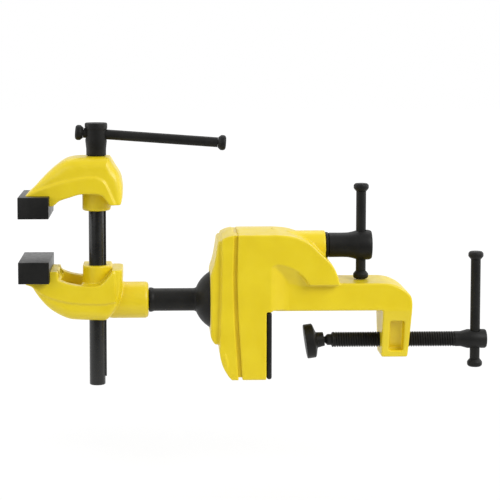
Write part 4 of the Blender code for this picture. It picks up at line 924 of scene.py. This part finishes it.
# Ball and stem
def make_ball_stud():
    """The ball with its stem, a collar, and the spigot with the groove for its pin."""
    profile = [(-SPIGOT_END, 0), (-SPIGOT_END, SPIGOT_R)]
    left, right = -STEM_GROOVE - PIN_R, -STEM_GROOVE + PIN_R
    profile += [(left, SPIGOT_R), (left, STEM_GROOVE_R), (right, STEM_GROOVE_R), (right, SPIGOT_R)]
    profile += [(-STEM_LENGTH, SPIGOT_R), (-STEM_LENGTH, COLLAR_R), (-COLLAR_END, COLLAR_R)]
    profile.append((COLLAR_SLOPE - COLLAR_END, STEM_R))
    neck_turn = math.pi - math.asin(STEM_R / BALL_R)
    neck = BALL_R * math.cos(neck_turn)
    profile += [(neck - NECK_START, STEM_R), (neck - NECK_RISE, STEM_R + NECK_RISE / 2)]
    first, last = neck_turn - 0.035, 0.02
    ball = arc_profile(0, BALL_R, first, last, steps=44) + [(BALL_R, 0)]
    stud = turned("ball_and_stem", soften(profile, radius=0.7) + ball, BALL, (1, 0, 0), sides=96)
    dress(stud, "ball", "black_steel", ["ball_stud"], sharp=60)


# Handles, the knob's profile as shares of its length and radius
KNOB = ((0.0, 0.70), (0.12, 0.80), (0.36, 0.985), (0.55, 1.0), (0.76, 0.985), (0.93, 0.86), (1.0, 0.74))
KNOB_LENGTH, KNOB_R = 6.2, 6.1
HANDLE_R, TENON_R, TENON = 4.0, 2.0, 3.1
JAW_HANDLE, LOCK_HANDLE, CLAMP_HANDLE = 120.2, 77.0, 94.0

# The jaw's handle droops, and lies with its left knob against the hub of the spindle
HUB = ((0.0, 0.88), (0.2, 0.88), (0.45, 0.955), (0.78, 0.955), (0.82, 1.0), (0.97, 1.0), (1.0, 0.93))
HUB_LOW, HUB_HEIGHT, HUB_R = UPPER_HIGH.z + 0.4, 26.2, 9.0
DROOP = math.radians(4.2)
JAW_BAR_WAY = Vector((math.cos(DROOP), 0, -math.sin(DROOP)))
JAW_BAR_OFFSET = (JAW_HANDLE / 2 - KNOB_LENGTH) * math.cos(DROOP) - HUB_R - 1.3
JAW_BAR_MIDDLE = Vector((BAR_X + JAW_BAR_OFFSET, 0, HUB_LOW + 14.2))
LOCK_BAR_X, LOCK_BAR_Z = 73.4, BEAM_TOP + 0.6 + LOCK_HANDLE / 2
CLAMP_BAR_X, CLAMP_BAR_Z = 166.8, 24.3
UP = Vector((0, 0, 1))


def make_handle(name, middle, direction, length):
    """A sliding bar with a knob on each end, each its own piece."""
    middle = Vector(middle)
    inner = length / 2 - KNOB_LENGTH - SLACK
    outer = inner + TENON
    bar = [(-outer, TENON_R), (-inner, TENON_R), (-inner, HANDLE_R)]
    bar += [(inner, HANDLE_R), (inner, TENON_R), (outer, TENON_R)]
    dress(turned(name + "_bar", bar, middle, direction), name, "black_steel", [name])
    for sign, end in ((1, "_knob_end"), (-1, "_knob_start")):
        place = middle + direction * (sign * (length / 2 - KNOB_LENGTH))
        knob = [(TENON + SLACK, 0), (TENON + SLACK, TENON_R + SLACK), (0, TENON_R + SLACK)]
        knob += [(KNOB_LENGTH * a, KNOB_R * r) for a, r in smooth_line(KNOB, 3)]
        knob += [(KNOB_LENGTH + 0.15, 3.2), (KNOB_LENGTH + 0.2, 0)]
        knob = turned(name + end + "_turned", knob, place, direction * sign)
        dress(knob, name, "black_steel", [name + end])


def handle_room(middle, way):
    """The cutter for a handle's hole through a hub."""
    half = way * HANDLE_ROOM_HALF
    return rod("hole", middle - half, middle + half, HANDLE_ROOM_R, sides=48)


# Jaw spindle
THREAD_R, SPINDLE_NECK_R = 3.7, 3.2
SPINDLE_LOW = -20.0
SPINDLE_THREAD = (-18, 100, 3.0, 0.7)


def make_spindle():
    """The jaw spindle: its thread, the neck with the pin's groove, and the hub of its handle."""
    profile = [(SPINDLE_LOW, 0), (SPINDLE_LOW, THREAD_R - 0.7), (SPINDLE_LOW + 0.8, THREAD_R)]
    profile += [(BAR_TOP + SLACK, THREAD_R), (BAR_TOP + SLACK, SPINDLE_R)]
    low, high = SPINDLE_PIN_Z - PIN_R, SPINDLE_PIN_Z + PIN_R
    profile += [(low, SPINDLE_R), (low, SPINDLE_NECK_R), (high, SPINDLE_NECK_R), (high, SPINDLE_R)]
    profile.append((HUB_LOW, SPINDLE_R))
    hub = [(HUB_LOW, SPINDLE_R)] + [(HUB_LOW + HUB_HEIGHT * a, HUB_R * r) for a, r in HUB]
    hub.append((HUB_LOW + HUB_HEIGHT, 0))
    profile += soften(hub, radius=0.9)[1:]
    spindle = turned("spindle_and_hub", profile, (BAR_X, 0, 0), UP, sides=80, thread=SPINDLE_THREAD)
    crossing = JAW_BAR_MIDDLE - JAW_BAR_WAY * (JAW_BAR_OFFSET / math.cos(DROOP))
    cut(spindle, handle_room(crossing, JAW_BAR_WAY))
    dress(spindle, "spindle", "black_steel", ["jaw_spindle"])


# Lock screw and its washer, the hub's profile as shares of its length and of its swell
LOCK_HUB = ((0.0, 0.0), (0.38, 0.0), (0.52, 0.25), (0.66, 0.85), (0.72, 1.0), (0.93, 1.0), (1.0, 0.55))
LOCK_HUB_X, LOCK_HUB_LENGTH, LOCK_HUB_R, LOCK_HUB_SWELL = 46.9, 34.8, 9.9, 2.1
LOCK_THREAD = (-37, -18, 1.75, 0.6)
WASHER_R, WASHER_THICK = 10.4, 2.0


def make_lock_screw():
    """The lock screw: its thread, its shank and the hub of its handle."""
    shares = [(LOCK_HUB_X + LOCK_HUB_LENGTH * a, LOCK_HUB_R + LOCK_HUB_SWELL * b) for a, b in LOCK_HUB]
    profile = [(LOCK_TIP, 0), (LOCK_TIP, LOCK_R - 0.8), (LOCK_TIP + 0.8, LOCK_R), (LOCK_HUB_X, LOCK_R)]
    profile += [(LOCK_HUB_X, LOCK_HUB_R - 0.6), (LOCK_HUB_X + 0.6, LOCK_HUB_R)] + smooth_line(shares)[2:]
    hub_end = LOCK_HUB_X + LOCK_HUB_LENGTH
    profile += [(hub_end + 0.1, LOCK_HUB_R + SLACK), (hub_end + 0.2, 0)]
    lock = turned("lock_screw_and_hub", profile, (0, 0, LOCK_Z), (1, 0, 0), sides=80, thread=LOCK_THREAD)
    cut(lock, handle_room(Vector((LOCK_BAR_X, 0, LOCK_Z)), UP))
    dress(lock, "lock_screw", "black_steel", ["lock_screw"])


def make_washer():
    """The dark washer between the boss and the hub of the lock screw."""
    left = LOCK_BOSS_END + SLACK
    right = left + WASHER_THICK
    rim = WASHER_R - SLACK
    profile = [(left, LOCK_BORE), (right, LOCK_BORE), (right, rim)]
    profile += [(right - SLACK, WASHER_R), (left + SLACK, WASHER_R), (left, rim)]
    washer = turned("dark_washer", profile, (0, 0, LOCK_Z), (1, 0, 0), closed=True)
    dress(washer, "frame", "black_steel", ["lock_washer"])


# Clamp screw and shoe, their profiles as (along the axis, radius)
CLAMP_SCREW = (
    (37.6, 0), (37.6, 2.5), (44.6, 2.5), (46.7, 4.5), (49.8, 4.5), (50.6, 6.15), (154.8, 6.15), (160.5, 7.7),
    (174.6, 7.7), (175.6, 7.0), (175.9, 6.0), (175.9, 0),
)
CLAMP_THREAD = (50.7, 150.7, 2.0, 0.95)
SHOE_RIM = (
    (3.8, 4.4), (4.0, 5.6), (-1.9, 6.3), (-3.9, 13.0), (-4.7, 13.8), (-10.8, 13.8), (-11.3, 13.4), (-11.3, 0),
)
SHOE_X = 40.0
SHOE_TILT = math.radians(8.2)
CUP_R, CUP_MOUTH = 4.5, 2.625


def make_clamp_screw():
    """The clamp screw: its nose in the shoe, its thread, and the head that its handle goes through."""
    screw = turned("threaded_clamp_screw", CLAMP_SCREW, (0, 0, 0), (1, 0, 0), sides=64, thread=CLAMP_THREAD)
    cut(screw, handle_room(Vector((CLAMP_BAR_X, 0, 0)), UP))
    dress(screw, "clamp_screw", "black_steel", ["clamp_screw"])


def make_shoe():
    """The shoe, tilted as in the photograph, with a cup for the ball of the clamp screw."""
    first, last = math.pi * 0.95, math.acos(CUP_MOUTH / CUP_R)
    cup = [(-CUP_R, 0)] + arc_profile(0, CUP_R, first, last, steps=12)
    profile = cup + soften([cup[-1], *SHOE_RIM], radius=0.6)[1:]
    way = (math.cos(SHOE_TILT), 0, math.sin(SHOE_TILT))
    shoe = turned("swivel_shoe", profile, (SHOE_X, 0, 0), way, sides=80)
    dress(shoe, "shoe", "black_steel", ["clamp_shoe"])


# Guide bar
RIB_LOW, RIB_HIGH = -28.2, BAR_TOP - 0.8
BAR_BORE_R = 4.4
SLOT_LOW, SLOT_HIGH = -8.0, 85.0


def make_guide_bar():
    """The guide bar with its rib, its bore and slot for the spindle, and the groove of its pin."""
    bar = rod("keyed_guide_bar", (BAR_X, 0, BAR_LOW.z), (BAR_X, 0, BAR_TOP), SHOWN_BAR_R, sides=96)
    bevel(bar, width=0.9)
    rib = box("rib", (BAR_X, -RIB_HALF, RIB_LOW), (BAR_HIGH.x, RIB_HALF, RIB_HIGH))
    join(bar, bevel(rib, width=0.35, segments=2))
    back = BAR_R + OVER
    cut(
        bar,
        rod("bore", (BAR_X, 0, BAR_LOW.z - OVER), (BAR_X, 0, BAR_TOP + OVER), BAR_BORE_R),
        box("slot", (BAR_X - SLOT_HALF, 0, SLOT_LOW), (BAR_X + SLOT_HALF, back, SLOT_HIGH)),
        rod("groove", (BAR_PIN_X, PIN_FRONT, BAR_PIN_Z), (BAR_PIN_X, back, BAR_PIN_Z), PIN_R, sides=24),
    )
    dress(bar, "upper_head", "black_steel", ["guide_bar"], sharp=35, finish=ground_steel)


# Pads and their screws
def make_jaw_pad(name, node, body, screw_z):
    pad = bevel(box(name, *span(node)), width=0.5)
    holes = []
    for y in (-SCREW_Y, SCREW_Y):
        ends = ((SCREW_TIP - SLACK, y, screw_z), (PAD_RIGHT + OVER, y, screw_z))
        holes.append(rod("hole", *ends, SCREW_R + SLACK, sides=24))
    dress(cut(pad, *holes), body, "black_rubber", [node], sharp=35)


def make_bench_pad():
    pad = bevel(box("housing_pad", *span("bench_pad")), width=1.8, segments=4)
    dress(pad, "frame", "black_rubber", ["bench_pad"], sharp=35)


def make_pad_screw(name, body, y, z):
    """A screw of a jaw pad: a round head with a recess, and a plain shank."""
    tip = LIP_X - SCREW_TIP
    profile = [(-1.0, 0), (-1.0, 1.1), (-2.0, 1.3), (-2.0, 2.2), (-1.6, 2.8), (-0.6, SCREW_HEAD_R)]
    profile += [(0, SCREW_HEAD_R), (0, SCREW_R), (tip, SCREW_R), (tip, 0)]
    screw = turned(name + "_turned", profile, (LIP_X, y, z), (-1, 0, 0), sides=36)
    dress(screw, body, "black_steel", [name])


make_upper_jaw()
make_lower_jaw()
make_clamp_frame()
make_front_cover()
make_ball_stud()
make_handle("jaw_handle", JAW_BAR_MIDDLE, JAW_BAR_WAY, JAW_HANDLE)
make_handle("lock_handle", (LOCK_BAR_X, 0, LOCK_BAR_Z), UP, LOCK_HANDLE)
make_handle("clamp_handle", (CLAMP_BAR_X, 0, CLAMP_BAR_Z), UP, CLAMP_HANDLE)
make_spindle()
make_lock_screw()
make_washer()
make_clamp_screw()
make_shoe()
make_guide_bar()
make_jaw_pad("upper_rubber_pad", "upper_jaw_pad", "upper_head", UPPER_SCREW_Z)
make_jaw_pad("lower_rubber_pad", "lower_jaw_pad", "lower_head", LOWER_SCREW_Z)
make_bench_pad()
for level, screw_z in (("upper", UPPER_SCREW_Z), ("lower", LOWER_SCREW_Z)):
    for screw_y, side in ((-SCREW_Y, "near"), (SCREW_Y, "far")):
        make_pad_screw(level + "_pad_screw_" + side, level + "_head", screw_y, screw_z)


# Floor, studio light and camera, in metres
FLOOR_HALF, FLOOR_FRONT = 6.0, -0.3
FLOOR_Z = cad_box[0][2] - 0.08
FLOOR_WHITE = 1.06
SHADOW_REACH = 0.7
WORLD_LIGHT = 0.40
MIDDLE = Vector((-0.01, 0.0, 0.07))


def light_paths(tree, *names):
    """The largest of some outputs of Light Path: 1 for a ray of one of these kinds, otherwise 0."""
    path = new_node(tree, "LightPath")
    output = path.outputs[names[0]]
    for name in names[1:]:
        larger = new_node(tree, "Math")
        larger.operation = "MAXIMUM"
        tree.links.new(output, larger.inputs[0])
        tree.links.new(path.outputs[name], larger.inputs[1])
        output = larger.outputs[0]
    return output


def mix(tree, factor, first, second):
    node = new_node(tree, "MixShader")
    tree.links.new(factor, node.inputs["Fac"])
    tree.links.new(first, node.inputs[1])
    tree.links.new(second, node.inputs[2])
    return node.outputs[0]


def map_range(tree, value, start, end, low, high):
    """Brings a value between start and end to one between low and high."""
    node = new_node(tree, "MapRange")
    for socket, level in (("From Min", start), ("From Max", end), ("To Min", low), ("To Max", high)):
        node.inputs[socket].default_value = level
    tree.links.new(value, node.inputs["Value"])
    return node.outputs["Result"]


def make_floor_material():
    """Paper that looks white, lights the part as paper does, and shows the part's shadow near it."""
    made = bpy.data.materials.new("pale_floor")
    made.use_nodes = True
    made.cycles.emission_sampling = "NONE"
    tree = made.node_tree
    tree.nodes.clear()
    matte = new_node(tree, "BsdfDiffuse")
    matte.inputs["Color"].default_value = (0.80, 0.80, 0.80, 1.0)
    white = new_node(tree, "Emission")
    white.inputs["Strength"].default_value = FLOOR_WHITE
    where = new_node(tree, "TexCoord")
    away = new_node(tree, "VectorMath")
    away.operation = "LENGTH"
    tree.links.new(where.outputs["Object"], away.inputs[0])
    shadowless = map_range(tree, away.outputs["Value"], start=0.1, end=SHADOW_REACH, low=0.75, high=1.0)
    share = new_node(tree, "Math")
    share.operation = "MULTIPLY"
    seen = light_paths(tree, "Is Camera Ray", "Is Glossy Ray", "Is Transmission Ray")
    tree.links.new(seen, share.inputs[0])
    tree.links.new(shadowless, share.inputs[1])
    out = new_node(tree, "OutputMaterial")
    tree.links.new(mix(tree, share.outputs[0], matte.outputs[0], white.outputs[0]), out.inputs["Surface"])
    return made


def make_floor():
    """A white sheet below every pose of the part."""
    corners = [(-FLOOR_HALF, FLOOR_FRONT), (FLOOR_HALF, FLOOR_FRONT)]
    corners += [(FLOOR_HALF, FLOOR_HALF), (-FLOOR_HALF, FLOOR_HALF)]
    shape = bmesh.new()
    shape.faces.new([shape.verts.new((x, y, FLOOR_Z)) for x, y in corners])
    floor = new_object("floor", shape)
    floor.data.materials.append(make_floor_material())


def make_world():
    """White surroundings, for gloss dark at the studio's front end, and a soft light from all round."""
    world = bpy.data.worlds.new("studio")
    bpy.context.scene.world = world
    world.use_nodes = True
    world.cycles.sampling_method = "NONE"
    tree = world.node_tree
    tree.nodes.clear()

    def background(strength):
        node = new_node(tree, "Background")
        node.inputs["Color"].default_value = (1, 1, 1, 1)
        node.inputs["Strength"].default_value = strength
        return node

    where = new_node(tree, "TexCoord")
    way = new_node(tree, "SeparateXYZ")
    tree.links.new(where.outputs["Generated"], way.inputs[0])
    mirrored = background(1.0)
    gloss = map_range(tree, way.outputs["Y"], start=-0.8, end=-0.1, low=0.1, high=1.0)
    tree.links.new(gloss, mirrored.inputs["Strength"])
    lamp = background(WORLD_LIGHT).outputs[0]
    shone = mix(tree, light_paths(tree, "Is Glossy Ray"), lamp, mirrored.outputs[0])
    plain = background(1.0).outputs[0]
    seen = mix(tree, light_paths(tree, "Is Camera Ray", "Is Transmission Ray"), shone, plain)
    out = new_node(tree, "OutputWorld")
    tree.links.new(seen, out.inputs["Surface"])


def area_light(name, place, size, power):
    """A rectangular lamp that points at the middle of the part."""
    data = bpy.data.lights.new(name, "AREA")
    data.shape = "RECTANGLE"
    data.size, data.size_y = size
    data.energy = power
    made = bpy.data.objects.new(name, data)
    made.location = place
    made.rotation_euler = (MIDDLE - Vector(place)).to_track_quat("-Z", "Y").to_euler()
    bpy.context.scene.collection.objects.link(made)


def make_camera():
    """The photograph's camera, fitted to its upright lines and to the sides of the castings."""
    data = bpy.data.cameras.new("camera")
    data.sensor_width = 36.0
    data.lens = 122.4
    data.shift_x = 0.05
    data.shift_y = -0.15
    camera = bpy.data.objects.new("camera", data)
    camera.location = (-0.0876, -1.3538, 0.2533)
    camera.rotation_euler = (math.radians(84.96), 0.0, math.radians(-2.18))
    bpy.context.scene.collection.objects.link(camera)
    bpy.context.scene.camera = camera


make_floor()
make_world()
area_light("key_light", (1.05, -1.0, 0.95), (0.9, 0.9), 19.0)
area_light("fill_light", (-0.9, -1.0, 0.6), (1.0, 1.0), 4.5)
area_light("top_light", (0.0, 0.7, 1.2), (1.2, 0.8), 4.5)
area_light("left_light", (-1.2, 0.1, 0.45), (0.8, 1.0), 5.5)
area_light("right_light", (1.2, 0.3, 0.45), (0.8, 1.0), 4.0)
make_camera()
bpy.context.scene.view_settings.view_transform = "Standard"
